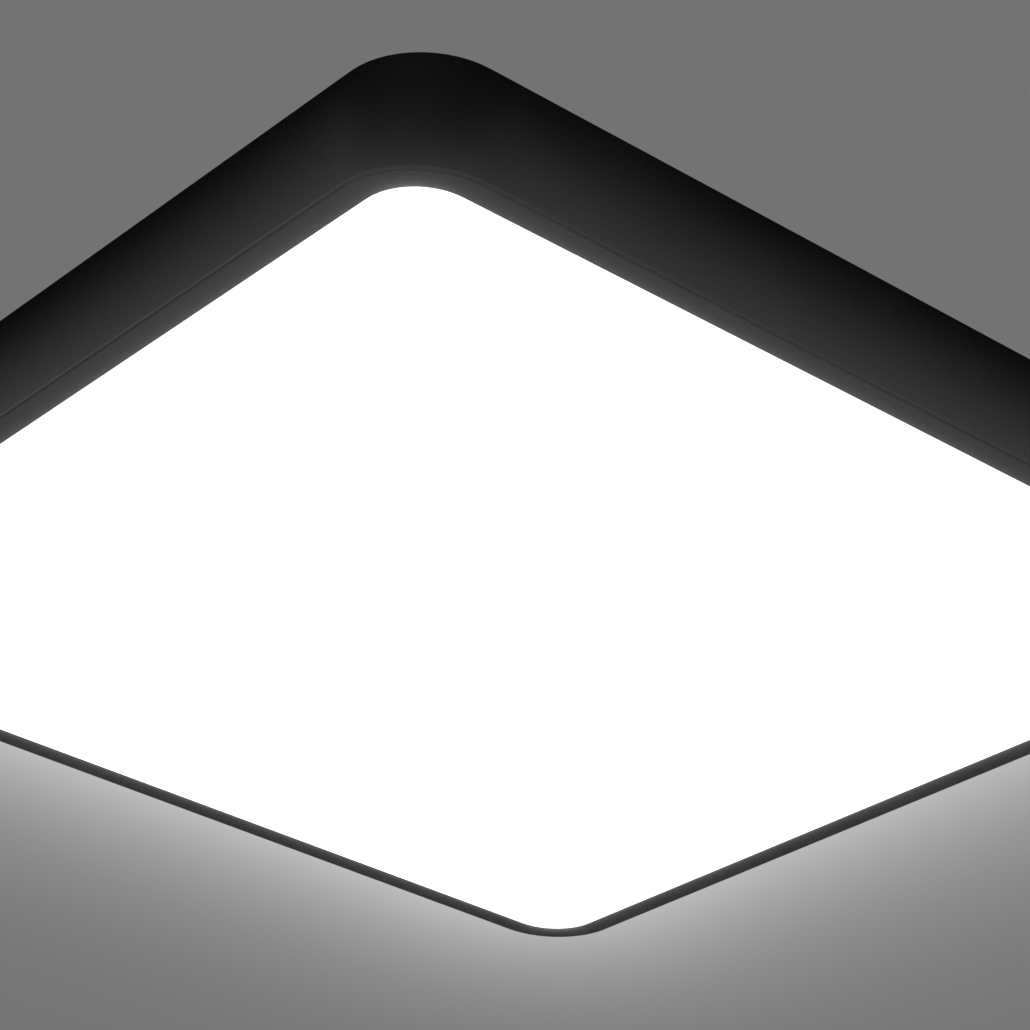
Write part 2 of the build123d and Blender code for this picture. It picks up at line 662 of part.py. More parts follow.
# Driver case, its circuit board and the large components
driver_floor_z = plate_z - DRIVER_WALL
driver_low_z = plate_z - DRIVER_HEIGHT
circuit_top_z = driver_floor_z - RAIL_HEIGHT
circuit_low_z = circuit_top_z - CIRCUIT_THICKNESS
lead_notch = LEAD_RADIUS + FIT
mains_y = {"live": DRIVER_Y - MAINS_SPACING / 2, "neutral": DRIVER_Y + MAINS_SPACING / 2}
latch_z = driver_floor_z - RAIL_HEIGHT / 2
latch_x = (-LATCH_PITCH / 2, LATCH_PITCH / 2)


def driver_base():
    """Floor of the case with two board rails, latch tabs on them, and a screw ear at opposite corners."""
    floor = RectangleRounded(DRIVER_LENGTH, DRIVER_WIDTH, DRIVER_CORNER)
    base = Pos(0, DRIVER_Y, driver_floor_z) * extrude(floor, amount=DRIVER_WALL)
    rail_y = DRIVER_WIDTH / 2 - DRIVER_WALL - LOOSE - RAIL_WIDTH / 2
    rail_length = DRIVER_LENGTH - 2 * DRIVER_CORNER - 2 * DRIVER_WALL
    latch_y = DRIVER_WIDTH / 2 - LOOSE
    latch = Box(LATCH_WIDTH, latch_y - rail_y, LATCH_HEIGHT)
    for side in (-1, 1):
        base += Pos(0, DRIVER_Y + side * rail_y, latch_z) * Box(rail_length, RAIL_WIDTH, RAIL_HEIGHT)
        for x in latch_x:
            base += Pos(x, DRIVER_Y + side * (rail_y + latch_y) / 2, latch_z) * latch
    for x, y in driver_screws:
        inwards = math.copysign(EAR_ROOT / 2, -x)
        ear = Pos(x + inwards, y) * RectangleRounded(EAR_LENGTH + EAR_ROOT, EAR_WIDTH, DRIVER_CORNER)
        base += Pos(0, 0, driver_floor_z) * extrude(ear, amount=DRIVER_WALL)
        base -= disc(x, y, SCREW_RADIUS + 2 * FIT, driver_floor_z, plate_z)
    return base


def driver_cover():
    """Five-sided lid with vents, a sunk blank panel, latch windows and notches for the leads."""
    outline = RectangleRounded(DRIVER_LENGTH, DRIVER_WIDTH, DRIVER_CORNER)
    inside = RectangleRounded(
        DRIVER_LENGTH - 2 * DRIVER_WALL, DRIVER_WIDTH - 2 * DRIVER_WALL, DRIVER_CORNER - DRIVER_WALL / 2
    )
    depth = driver_floor_z - driver_low_z
    shell = Pos(0, DRIVER_Y, driver_low_z) * extrude(outline, amount=depth)
    shell = fillet(shell.faces().sort_by(Axis.Z)[0].edges(), DRIVER_EDGE)
    shell -= Pos(0, DRIVER_Y, driver_low_z + DRIVER_WALL) * extrude(inside, amount=depth - DRIVER_WALL)
    panel = RectangleRounded(PANEL_LENGTH, PANEL_WIDTH, DRIVER_CORNER)
    shell -= Pos(0, DRIVER_Y, driver_low_z) * extrude(panel, amount=PANEL_DEPTH)
    vent = Pos(0, DRIVER_Y, driver_low_z) * Rot(0, 0, 90) * extrude(
        SlotOverall(VENT_LENGTH, VENT_WIDTH), amount=DRIVER_WALL
    )
    window = Box(LATCH_WIDTH + 2 * LOOSE, DRIVER_WIDTH, LATCH_HEIGHT + 2 * LOOSE)
    for count in range(VENT_COUNT):
        vent_x = driver_end - VENT_INSET - count * VENT_PITCH
        shell -= Pos(-vent_x, 0, 0) * vent
        shell -= Pos(vent_x, 0, 0) * vent
    for x in latch_x:
        shell -= Pos(x, DRIVER_Y, latch_z) * window
    mains = [(-driver_end, y) for y in mains_y.values()]
    output = [(driver_end, feed_y - half_spacing), (driver_end, feed_y + half_spacing)]
    notch_height = driver_floor_z - lead_z
    for x, y in mains + output:
        bore = Pos(x, y, lead_z) * Rot(0, 90, 0) * Cylinder(lead_notch, 4 * DRIVER_WALL)
        mouth = Pos(x, y, lead_z + notch_height / 2) * Box(4 * DRIVER_WALL, 2 * lead_notch, notch_height)
        shell -= bore + mouth
    return shell


def driver_circuit():
    """Circuit board lying on the two rails."""
    play = 2 * (DRIVER_WALL + CIRCUIT_PLAY)
    size = (DRIVER_LENGTH - play - 2 * DRIVER_CORNER, DRIVER_WIDTH - play, CIRCUIT_THICKNESS)
    return Pos(0, DRIVER_Y, circuit_low_z + CIRCUIT_THICKNESS / 2) * Box(*size)


def driver_transformer():
    """Wound bobbin between two core cheeks."""
    core = Box(TRANSFORMER_LENGTH, TRANSFORMER_WIDTH / 2, TRANSFORMER_HEIGHT)
    winding = Box(TRANSFORMER_LENGTH - 2 * TRANSFORMER_CHEEK, TRANSFORMER_WIDTH, TRANSFORMER_HEIGHT)
    winding = fillet(winding.edges().filter_by(Axis.Z), TRANSFORMER_EDGE)
    return Pos(0, DRIVER_Y, circuit_low_z - TRANSFORMER_HEIGHT / 2) * (core + winding)


def driver_capacitors():
    """Four can capacitors standing on the board, two at each side of the transformer."""
    first_x = TRANSFORMER_LENGTH / 2 + CAPACITOR_PITCH
    cans = []
    for x in (-first_x, first_x):
        for y in (-CAPACITOR_PITCH / 2, CAPACITOR_PITCH / 2):
            can = disc(x, DRIVER_Y + y, CAPACITOR_RADIUS, circuit_low_z - CAPACITOR_HEIGHT, circuit_low_z)
            cans.append(fillet(can.faces().sort_by(Axis.Z)[0].edges(), CAPACITOR_EDGE))
    return cans


nodes["driver_base"] = driver_base()
nodes["driver_cover"] = driver_cover()
nodes["driver_circuit_board"] = driver_circuit()
nodes["driver_transformer"] = driver_transformer()
nodes["driver_capacitors"] = driver_capacitors()
nodes["driver_screws"] = [screw(x, y, driver_floor_z, SCREW_GRIP) for x, y in driver_screws]


# Lever terminal. Each lever turns on one pin through the whole block.
poles = {"live": POLE_PITCH, "neutral": 0.0, "earth": -POLE_PITCH}
terminal_low_z = plate_z - TERMINAL_HEIGHT
terminal_back = TERMINAL_X - TERMINAL_DEPTH / 2
terminal_front = TERMINAL_X + TERMINAL_DEPTH / 2
lever_pin_x = terminal_back + POLE_WALL + LEVER_CAM_RADIUS + LEVER_PLAY
lever_pin_z = terminal_low_z + LEVER_INSET + LEVER_CAM_RADIUS
lever_width = POLE_PITCH - POLE_WALL - 2 * LOOSE


def terminal_housing():
    """Moulded block: lever slots, funnelled wire entries and test slots in front, lead holes behind."""
    width = 2 * terminal_half_width
    block = Box(TERMINAL_DEPTH, width, TERMINAL_HEIGHT)
    block = fillet(block.edges().filter_by(Axis.Z), POLE_WALL)
    block = Pos(TERMINAL_X, TERMINAL_Y, terminal_low_z + TERMINAL_HEIGHT / 2) * block
    for x, y in terminal_screws:
        ear = Box(2 * TERMINAL_EAR, TERMINAL_EAR + 2 * POLE_WALL, TERMINAL_EAR_THICKNESS)
        inwards = math.copysign(POLE_WALL, TERMINAL_Y - y)
        block += Pos(x, y + inwards, plate_z - TERMINAL_EAR_THICKNESS / 2) * ear
        block -= disc(x, y, SCREW_RADIUS + 2 * FIT, plate_z - TERMINAL_EAR_THICKNESS, plate_z)
    slot_width = POLE_PITCH - POLE_WALL
    cam_room = LEVER_CAM_RADIUS + LEVER_PLAY
    bar_room = LEVER_INSET + LEVER_THICKNESS + LEVER_PLAY
    slot_length = LEVER_LENGTH + POLE_WALL
    test_slot = Box(TEST_SLOT_LENGTH, TEST_SLOT_WIDTH, TEST_SLOT_DEPTH)
    test_x = (lever_pin_x + slot_length + terminal_front) / 2
    funnel_x = terminal_front - WIRE_FUNNEL_DEPTH / 2
    funnel = Rot(0, 90, 0) * Cone(WIRE_ENTRY_RADIUS, WIRE_FUNNEL_RADIUS, WIRE_FUNNEL_DEPTH)
    for offset in poles.values():
        y = TERMINAL_Y + offset
        cam = Pos(lever_pin_x, y, lever_pin_z) * Rot(90, 0, 0) * Cylinder(cam_room, slot_width)
        mouth_height = lever_pin_z - terminal_low_z
        mouth = Pos(lever_pin_x, y, terminal_low_z + mouth_height / 2) * Box(
            2 * cam_room, slot_width, mouth_height
        )
        bar = Pos(lever_pin_x + slot_length / 2, y, terminal_low_z + bar_room / 2) * Box(
            slot_length, slot_width, bar_room
        )
        entry = Pos(terminal_front, y, lead_z) * Rot(0, -90, 0) * extrude(
            Circle(WIRE_ENTRY_RADIUS), amount=WIRE_ENTRY_DEPTH
        )
        lead_hole = Pos(terminal_back, y, lead_z) * Rot(0, 90, 0) * extrude(
            Circle(LEAD_RADIUS + FIT), amount=LEAD_LAP
        )
        block -= cam + mouth + bar
        block -= entry
        block -= Pos(funnel_x, y, lead_z) * funnel
        block -= Pos(test_x, y, terminal_low_z + TEST_SLOT_DEPTH / 2) * test_slot
        block -= lead_hole
    pin_hole = Pos(lever_pin_x, TERMINAL_Y, lever_pin_z) * Rot(90, 0, 0)
    return block - pin_hole * Cylinder(LEVER_PIN_RADIUS + FIT, width)


def lever(offset):
    """Flat tongue with a round cam end, shut flush with the block's face."""
    y = TERMINAL_Y + offset
    pivot = Pos(lever_pin_x, y, lever_pin_z) * Rot(90, 0, 0)
    tongue_z = terminal_low_z + LEVER_INSET + LEVER_THICKNESS / 2
    tongue = Pos(lever_pin_x + LEVER_LENGTH / 2, y, tongue_z) * Box(
        LEVER_LENGTH, lever_width, LEVER_THICKNESS
    )
    tip = tongue.edges().filter_by(Axis.Y).group_by(Axis.X)[-1]
    body = fillet(tip, LEVER_TIP_EDGE) + pivot * Cylinder(LEVER_CAM_RADIUS, lever_width)
    return body - pivot * Cylinder(LEVER_PIN_RADIUS + FIT, lever_width)


def lever_pin():
    """Steel pin through the block's cheeks and all three levers."""
    pin = Cylinder(LEVER_PIN_RADIUS, 2 * terminal_half_width - 2 * FIT)
    return Pos(lever_pin_x, TERMINAL_Y, lever_pin_z) * Rot(90, 0, 0) * pin


nodes["terminal_housing"] = terminal_housing()
nodes["terminal_pin"] = lever_pin()
for name, offset in poles.items():
    nodes["terminal_lever_" + name] = lever(offset)
terminal_seat_z = plate_z - TERMINAL_EAR_THICKNESS
nodes["terminal_screws"] = [screw(x, y, terminal_seat_z, SCREW_GRIP) for x, y in terminal_screws]


# Mains leads between the terminal, the driver and the pan's earth screw
def mains_lead(pole, loop):
    """Lead from the back of the terminal round to the driver's input end."""
    start_y = TERMINAL_Y + poles[pole]
    end_y = mains_y[pole]
    far_x = -driver_end - loop
    points = [
        (terminal_back + LEAD_LAP, start_y, lead_z),
        (far_x, start_y, lead_z),
        (far_x, end_y, lead_z),
        (-driver_end + LEAD_LAP, end_y, lead_z),
    ]
    return lead(points, LEAD_BEND)


earth_barrel_y = EARTH_Y + EARTH_TAG_RADIUS + EARTH_NECK
barrel_radius = LEAD_RADIUS + EARTH_TAG_THICKNESS / 2
tag_low_z = plate_z - EARTH_TAG_THICKNESS


def earth_lead():
    """Lead from the terminal's earth pole into the ring tag's barrel."""
    start_y = TERMINAL_Y + poles["earth"]
    points = [
        (terminal_back + LEAD_LAP, start_y, lead_z),
        (EARTH_X, start_y, lead_z),
        (EARTH_X, earth_barrel_y + EARTH_BARREL_LENGTH / 2, lead_z),
    ]
    return lead(points, LEAD_BEND)


def earth_tag():
    """Ring tag under the earth screw, stepped down to the barrel crimped on the lead."""
    ring = disc(EARTH_X, EARTH_Y, EARTH_TAG_RADIUS, tag_low_z, plate_z)
    tag_z = plate_z - EARTH_TAG_THICKNESS / 2
    step = [
        (SCREW_HEAD_RADIUS, tag_z),
        (EARTH_TAG_RADIUS, tag_z),
        (EARTH_TAG_RADIUS + EARTH_NECK - LEAD_RADIUS, lead_z),
        (EARTH_TAG_RADIUS + EARTH_NECK + LEAD_RADIUS, lead_z),
    ]
    neck = bent_strip(step, EARTH_TAG_THICKNESS, 2 * LEAD_RADIUS, EARTH_TAG_THICKNESS)
    tag = ring + Pos(EARTH_X, EARTH_Y, 0) * Rot(0, 0, 90) * neck
    along_y = Pos(EARTH_X, earth_barrel_y, lead_z) * Rot(-90, 0, 0)
    tag += along_y * extrude(Circle(barrel_radius), amount=EARTH_BARREL_LENGTH)
    lead_end = Pos(0, 0, EARTH_BARREL_LENGTH / 2)
    tag -= along_y * lead_end * extrude(Circle(LEAD_RADIUS + FIT), amount=EARTH_BARREL_LENGTH / 2)
    return tag - disc(EARTH_X, EARTH_Y, SCREW_RADIUS + 2 * FIT, tag_low_z, plate_z)


nodes["live_lead"] = mains_lead("live", LEAD_LOOP)
nodes["neutral_lead"] = mains_lead("neutral", LEAD_LOOP + LEAD_SPACING)
nodes["earth_lead"] = earth_lead()
nodes["earth_tag"] = earth_tag()
nodes["earth_screw"] = screw(EARTH_X, EARTH_Y, tag_low_z, SCREW_GRIP)


# Rubber grommet where the supply cable comes through the plate
def cable_grommet():
    """Ring with a groove that the edge of the plate's hole sits in."""
    low = plate_z - GROMMET_FLANGE_THICKNESS
    high = -PAN_DEPTH + GROMMET_FLANGE_THICKNESS
    upper = disc(GROMMET_X, TERMINAL_Y, GROMMET_FLANGE_RADIUS, -PAN_DEPTH, high)
    lower = disc(GROMMET_X, TERMINAL_Y, GROMMET_FLANGE_RADIUS, low, plate_z)
    upper = fillet(upper.faces().sort_by(Axis.Z)[-1].edges(), GROMMET_FLANGE_THICKNESS / 2)
    lower = fillet(lower.faces().sort_by(Axis.Z)[0].edges(), GROMMET_FLANGE_THICKNESS / 2)
    neck = disc(GROMMET_X, TERMINAL_Y, GROMMET_NECK_RADIUS, plate_z, -PAN_DEPTH)
    return upper + lower + neck - disc(GROMMET_X, TERMINAL_Y, GROMMET_BORE_RADIUS, low, high)


nodes["cable_grommet"] = cable_grommet()

for name, shape in nodes.items():
    solids = shape if isinstance(shape, list) else shape.solids()
    flat = [solid for one in solids for solid in one.solids()]
    export_step(flat[0] if len(flat) == 1 else Compound(flat), f"parts/{name}.step")
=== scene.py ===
import math
import bmesh
import bpy
from mathutils import Matrix, Vector


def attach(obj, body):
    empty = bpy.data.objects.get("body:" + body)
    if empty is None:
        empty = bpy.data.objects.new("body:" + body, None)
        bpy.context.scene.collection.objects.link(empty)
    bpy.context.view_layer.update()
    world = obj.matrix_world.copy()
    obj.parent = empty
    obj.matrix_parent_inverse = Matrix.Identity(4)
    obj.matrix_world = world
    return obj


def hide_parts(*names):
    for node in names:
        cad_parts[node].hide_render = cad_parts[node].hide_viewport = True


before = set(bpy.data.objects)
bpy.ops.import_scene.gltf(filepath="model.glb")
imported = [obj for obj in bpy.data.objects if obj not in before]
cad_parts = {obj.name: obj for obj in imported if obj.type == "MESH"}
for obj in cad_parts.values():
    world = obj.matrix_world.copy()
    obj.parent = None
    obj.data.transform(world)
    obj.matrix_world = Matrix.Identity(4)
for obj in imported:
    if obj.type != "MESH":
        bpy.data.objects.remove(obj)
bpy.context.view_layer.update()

bpy.ops.object.select_all(action="DESELECT")

# Ceiling bar: a channel folded from zinc-plated sheet steel, screwed to the ceiling through its two slots.
# The plating shows as a faint crystal spangle, with streaks from rolling along the bar.
SPANGLE_SIZE = 0.0016
SPANGLE_RANGE = (0.05, 0.55)
ZINC_STREAKS = (40.0, 1800.0, 1800.0)
ZINC_DARK = (0.46, 0.48, 0.50)
ZINC_LIGHT = (0.66, 0.67, 0.68)
ZINC_ROUGHNESS = (0.46, 0.30)


def node(tree, kind, inputs=None, **settings):
    """Add a shader node, set its options, and fill its inputs with values or links."""
    made = tree.nodes.new("ShaderNode" + kind)
    for key, value in settings.items():
        setattr(made, key, value)
    for key, value in (inputs or {}).items():
        if isinstance(value, bpy.types.NodeSocket):
            tree.links.new(value, made.inputs[key])
        else:
            made.inputs[key].default_value = value
    return made


def rgba(colour):
    """A colour with full opacity, as a shader's sockets take it."""
    return (*colour, 1.0)


def new_finish(name, **plain):
    """A material with its shader, set to plain values, and the place on the piece that its patterns read."""
    material = bpy.data.materials.new(name)
    material.use_nodes = True
    tree = material.node_tree
    shader = tree.nodes["Principled BSDF"]
    for key, value in plain.items():
        shader.inputs[key.replace("_", " ")].default_value = value
    spot = node(tree, "TexCoord").outputs["Object"]
    return material, tree, shader, spot


def feed(tree, shader, **links):
    """Link what varies over the piece to the shader's own sockets."""
    for key, value in links.items():
        tree.links.new(value, shader.inputs[key.replace("_", " ")])


def relief(tree, shader, height, strength, depth):
    """Feed a height pattern to the shader as a bump of that depth."""
    bump = node(tree, "Bump", {"Height": height, "Strength": strength, "Distance": depth})
    feed(tree, shader, Normal=bump.outputs["Normal"])


def work_out(tree, kind, *values):
    """One step of arithmetic on values or links, and what comes out of it."""
    return node(tree, "Math", dict(enumerate(values)), operation=kind).outputs[0]


def spread(tree, value, start, end, low=0.0, high=1.0, **settings):
    """Where a value lies on the way from start to end, as a number from low to high."""
    ends = {"Value": value, "From Min": start, "From Max": end, "To Min": low, "To Max": high}
    return node(tree, "MapRange", ends, **settings).outputs[0]


def blend(tree, share, first, second):
    """The colour that lies that share of the way from the first to the second."""
    mixed = node(tree, "Mix", {"Factor": share, "A": first, "B": second}, data_type="RGBA")
    return mixed.outputs["Result"]


def rolled_lines(tree, spot, stretch, detail):
    """Noise drawn out into the fine lines that rolling leaves."""
    drawn = node(tree, "Mapping", {"Vector": spot, "Scale": stretch}).outputs[0]
    return node(tree, "TexNoise", {"Vector": drawn, "Scale": 1.0, "Detail": detail}).outputs[0]


def zinc_plate():
    """Plated steel: spangle cells of slightly different brightness, with fine rolling streaks."""
    material, tree, shader, spot = new_finish("zinc_plate", Metallic=1.0)
    cells = node(tree, "TexVoronoi", {"Vector": spot, "Scale": 1 / SPANGLE_SIZE})
    cell_grey = node(tree, "SeparateColor", {"Color": cells.outputs["Color"]}).outputs[0]
    streaks = rolled_lines(tree, spot, ZINC_STREAKS, detail=3.0)
    share = spread(tree, work_out(tree, "MULTIPLY", cell_grey, streaks), *SPANGLE_RANGE)
    tint = blend(tree, share, rgba(ZINC_DARK), rgba(ZINC_LIGHT))
    feed(tree, shader, Base_Color=tint, Roughness=spread(tree, share, 0.0, 1.0, *ZINC_ROUGHNESS))
    relief(tree, shader, streaks, strength=0.25, depth=0.00004)
    return material


def dress(material, *names):
    """Give the CAD nodes of these names a finish."""
    for name in names:
        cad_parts[name].material_slots[0].material = material


zinc = zinc_plate()
dress(zinc, "ceiling_bar", "stud_lock_nuts", "pan_washers", "clip_rivets")

# Studs: two plated steel studs clinched into the bar, each with a rolled thread down to its chamfered end.
# The lock nuts, the washers and the thumb nuts all sit on them.
STUD_X = 0.1439
STUD_RADIUS = 0.002
STUD_CORE = 0.0017
STUD_SIDES = 32
STUD_HEAD_RADIUS = 0.003
STUD_HEAD_Z = -0.0009
STUD_END_Z = -0.02435
STUD_CHAMFER = 0.0005
STUD_PITCH = 0.0007
STUD_THREAD_TOP_Z = -0.0035
STUD_THREAD_STEPS = 18
THREAD_ROOT = 0.97
THREAD_CREST = 0.45
THREAD_WIDTH = 0.9
FACING = 0.9
MERGE_DISTANCE = 0.000001
SMOOTH_ANGLE = math.radians(35)


def clear_selection():
    """Leave edit mode, with nothing selected."""
    if bpy.context.mode != "OBJECT":
        bpy.ops.object.mode_set(mode="OBJECT")
    bpy.ops.object.select_all(action="DESELECT")


def pick(piece, kind, test):
    """Select the faces or edges of the piece in edit mode whose middle, and normal or run, pass a test."""
    bpy.ops.mesh.select_mode(type=kind)
    bpy.ops.mesh.select_all(action="DESELECT")
    mesh = bmesh.from_edit_mesh(piece.data)
    mesh.normal_update()
    if kind == "FACE":
        for face in mesh.faces:
            face.select_set(test(face.calc_center_median(), face.normal))
    else:
        for edge in mesh.edges:
            start, end = (corner.co for corner in edge.verts)
            edge.select_set(test((start + end) / 2, (end - start).normalized()))
    mesh.select_flush(True)
    bmesh.update_edit_mesh(piece.data)


def settle(piece):
    """Put a finished piece's place into its mesh, with doubles merged and faces outwards."""
    clear_selection()
    piece.select_set(True)
    bpy.context.view_layer.objects.active = piece
    bpy.ops.object.transform_apply(location=True, rotation=True, scale=True)
    bpy.ops.object.mode_set(mode="EDIT")
    bpy.ops.mesh.select_all(action="SELECT")
    bpy.ops.mesh.remove_doubles(threshold=MERGE_DISTANCE)
    bpy.ops.mesh.normals_make_consistent(inside=False)
    bpy.ops.object.mode_set(mode="OBJECT")
    bpy.ops.object.shade_smooth_by_angle(angle=SMOOTH_ANGLE)
    clear_selection()


def cylinder(radius, low, high, sides):
    """A plain round bar about the Z axis."""
    clear_selection()
    middle = (0, 0, (low + high) / 2)
    bpy.ops.mesh.primitive_cylinder_add(vertices=sides, radius=radius, depth=high - low, location=middle)
    bpy.ops.object.transform_apply(location=True)
    return bpy.context.object


def thread_ridge(core, crest, pitch, low, high, steps):
    """A closed helical ridge, wound by a screw modifier from a small triangle, that sits on a shank."""
    clear_selection()
    bpy.ops.mesh.primitive_circle_add(vertices=3, radius=pitch / 2, fill_type="NOTHING", location=(0, 0, 0))
    ridge = bpy.context.object
    root = core * THREAD_ROOT
    outline = [(root, low), (crest, low + pitch * THREAD_CREST), (root, low + pitch * THREAD_WIDTH)]
    bpy.ops.object.mode_set(mode="EDIT")
    corners = bmesh.from_edit_mesh(ridge.data).verts
    corners.ensure_lookup_table()
    for corner, (out, height) in zip(corners, outline):
        corner.co = (out, 0, height)
    bmesh.update_edit_mesh(ridge.data)
    bpy.ops.object.mode_set(mode="OBJECT")
    wind = ridge.modifiers.new("wind", "SCREW")
    wind.axis = "Z"
    wind.steps = steps
    wind.render_steps = steps
    wind.iterations = max(1, round((high - low) / pitch) - 1)
    wind.screw_offset = pitch
    bpy.ops.object.modifier_apply(modifier="wind")
    bpy.ops.object.mode_set(mode="EDIT")
    bpy.ops.mesh.select_mode(type="EDGE")
    bpy.ops.mesh.select_all(action="DESELECT")
    bpy.ops.mesh.select_non_manifold(extend=False)
    bpy.ops.mesh.edge_face_add()
    bpy.ops.object.mode_set(mode="OBJECT")
    return ridge


def join(pieces, name):
    """Join finished pieces into one object with that name."""
    clear_selection()
    for piece in pieces:
        piece.select_set(True)
    bpy.context.view_layer.objects.active = pieces[0]
    if len(pieces) > 1:
        bpy.ops.object.join()
    pieces[0].name = name
    return pieces[0]


def copy_at(piece, place):
    """A copy of a modelled piece with its own mesh, moved or turned by a matrix."""
    twin = piece.copy()
    twin.data = piece.data.copy()
    twin.data.transform(place)
    bpy.context.collection.objects.link(twin)
    return twin


def threaded_stud():
    """Chamfered shank with a flat head at the ceiling side, and the thread wound round it."""
    shank = cylinder(STUD_CORE, STUD_END_Z, STUD_HEAD_Z, STUD_SIDES)
    bpy.ops.object.mode_set(mode="EDIT")
    pick(shank, "FACE", lambda middle, normal: normal.z > FACING)
    bpy.ops.mesh.extrude_region_move(TRANSFORM_OT_translate={"value": (0, 0, 0)})
    grow = STUD_HEAD_RADIUS / STUD_CORE
    bpy.ops.transform.resize(value=(grow, grow, 1), center_override=(0, 0, STUD_HEAD_Z))
    bpy.ops.mesh.extrude_region_move(TRANSFORM_OT_translate={"value": (0, 0, -STUD_HEAD_Z)})
    pick(shank, "FACE", lambda middle, normal: normal.z < -FACING and middle.z < STUD_THREAD_TOP_Z)
    bpy.ops.mesh.bevel(offset=STUD_CHAMFER, segments=2)
    bpy.ops.object.mode_set(mode="OBJECT")
    low = STUD_END_Z + STUD_CHAMFER
    ridge = thread_ridge(STUD_CORE, STUD_RADIUS, STUD_PITCH, low, STUD_THREAD_TOP_Z, STUD_THREAD_STEPS)
    return join([shank, ridge], "stud")


stud = threaded_stud()
settle(stud)
studs = join([copy_at(stud, Matrix.Translation((x, 0, 0))) for x in (-STUD_X, STUD_X)], "threaded_studs")
bpy.data.objects.remove(stud)
studs.data.materials.append(zinc)
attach(studs, "base")
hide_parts("bar_studs")

# Base pan: deep-drawn sheet steel with a ceiling flange, a sloping wall and pressed beads.
# It is coated all over in white stove enamel, which has a slight orange-peel surface.
ENAMEL_DARK = (0.735, 0.735, 0.725)
ENAMEL_LIGHT = (0.775, 0.775, 0.765)
CLOUD_DETAIL = 4.0
GRAIN_DETAIL = 2.0
CLOUD_RANGE = (0.7, 1.3)


def cloud_group():
    """Shared effect: soft clouds and fine grain that vary a finish's colour, roughness and height."""
    group = bpy.data.node_groups.new("clouds_and_grain", "ShaderNodeTree")
    wanted = [("Vector", "Vector"), ("Cloud Scale", "Float"), ("Grain Scale", "Float"), ("Dark", "Color"),
              ("Light", "Color"), ("Roughness Dark", "Float"), ("Roughness Light", "Float")]
    for label, kind in wanted:
        group.interface.new_socket(label, in_out="INPUT", socket_type="NodeSocket" + kind)
    for label, kind in [("Color", "Color"), ("Roughness", "Float"), ("Height", "Float")]:
        group.interface.new_socket(label, in_out="OUTPUT", socket_type="NodeSocket" + kind)
    inlet = group.nodes.new("NodeGroupInput").outputs
    outlet = group.nodes.new("NodeGroupOutput")
    spot = inlet["Vector"]
    clouds = {"Vector": spot, "Scale": inlet["Cloud Scale"], "Detail": CLOUD_DETAIL}
    grains = {"Vector": spot, "Scale": inlet["Grain Scale"], "Detail": GRAIN_DETAIL}
    cloud = node(group, "TexNoise", clouds).outputs[0]
    grain = node(group, "TexNoise", grains).outputs[0]
    share = spread(group, work_out(group, "ADD", cloud, grain), *CLOUD_RANGE)
    tint = blend(group, share, inlet["Dark"], inlet["Light"])
    roughness = spread(group, share, 0.0, 1.0, inlet["Roughness Dark"], inlet["Roughness Light"])
    feed(group, outlet, Color=tint, Roughness=roughness, Height=grain)
    return group


clouds_and_grain = cloud_group()


def clouded(tree, shader, spot, dark, light, roughness, clouds, grains):
    """Place the shared clouds and grain in a material with its own values."""
    values = {"Vector": spot, "Cloud Scale": clouds, "Grain Scale": grains, "Dark": rgba(dark),
              "Light": rgba(light), "Roughness Dark": roughness[0], "Roughness Light": roughness[1]}
    surface = node(tree, "Group", values, node_tree=clouds_and_grain).outputs
    feed(tree, shader, Base_Color=surface["Color"], Roughness=surface["Roughness"])
    return surface


def grained(name, dark, light, roughness, clouds=70.0, grains=2600.0, strength=0.3, depth=0.00005, **plain):
    """A finish with soft clouds in its colour and gloss, and a fine grain that stands up a little."""
    material, tree, shader, spot = new_finish(name, **plain)
    surface = clouded(tree, shader, spot, dark, light, roughness, clouds, grains)
    relief(tree, shader, surface["Height"], strength, depth)
    return material


enamel = grained("stove_enamel", ENAMEL_DARK, ENAMEL_LIGHT, roughness=(0.28, 0.40), clouds=14.0, grains=420.0,
                 strength=0.35, depth=0.00012, Coat_Weight=0.25, Coat_Roughness=0.12)
dress(enamel, "base_pan")

# Spring clips: four leaves of hardened strip steel, riveted under the pan's flange.
# The strip is rolled, so its sheen runs in fine lines, and the bends have a straw heat tint.
STRIP_DARK = (0.40, 0.41, 0.43)
STRIP_LIGHT = (0.58, 0.59, 0.61)
STRIP_ROUGHNESS = (0.30, 0.44)
STRIP_RANGE = (0.3, 0.7)
LINES_CLOSE = 2600.0
LINES_LONG = 60.0
STRAW_TINT = (0.46, 0.40, 0.31)
STRAW_SHARE = 0.7
HEAT_REACH = 0.004
CLIP_BEND_Z = -0.0180


def apart(tree, value, middle):
    """How far a value lies from a middle one, to either side."""
    return work_out(tree, "ABSOLUTE", work_out(tree, "SUBTRACT", value, middle))


def strip_steel(name, stretch):
    """Rolled strip: fine lines along its length, and a tint at the nose where it was bent hot."""
    material, tree, shader, spot = new_finish(name, Metallic=1.0)
    lines = rolled_lines(tree, spot, stretch, detail=4.0)
    share = spread(tree, lines, *STRIP_RANGE)
    tint = blend(tree, share, rgba(STRIP_DARK), rgba(STRIP_LIGHT))
    height = node(tree, "SeparateXYZ", {"Vector": spot}).outputs["Z"]
    heat = spread(tree, apart(tree, height, CLIP_BEND_Z), HEAT_REACH, 0.0, 0.0, STRAW_SHARE)
    straw = blend(tree, heat, tint, rgba(STRAW_TINT))
    feed(tree, shader, Base_Color=straw, Roughness=spread(tree, share, 0.0, 1.0, *STRIP_ROUGHNESS))
    relief(tree, shader, lines, strength=0.2, depth=0.00003)
    return material


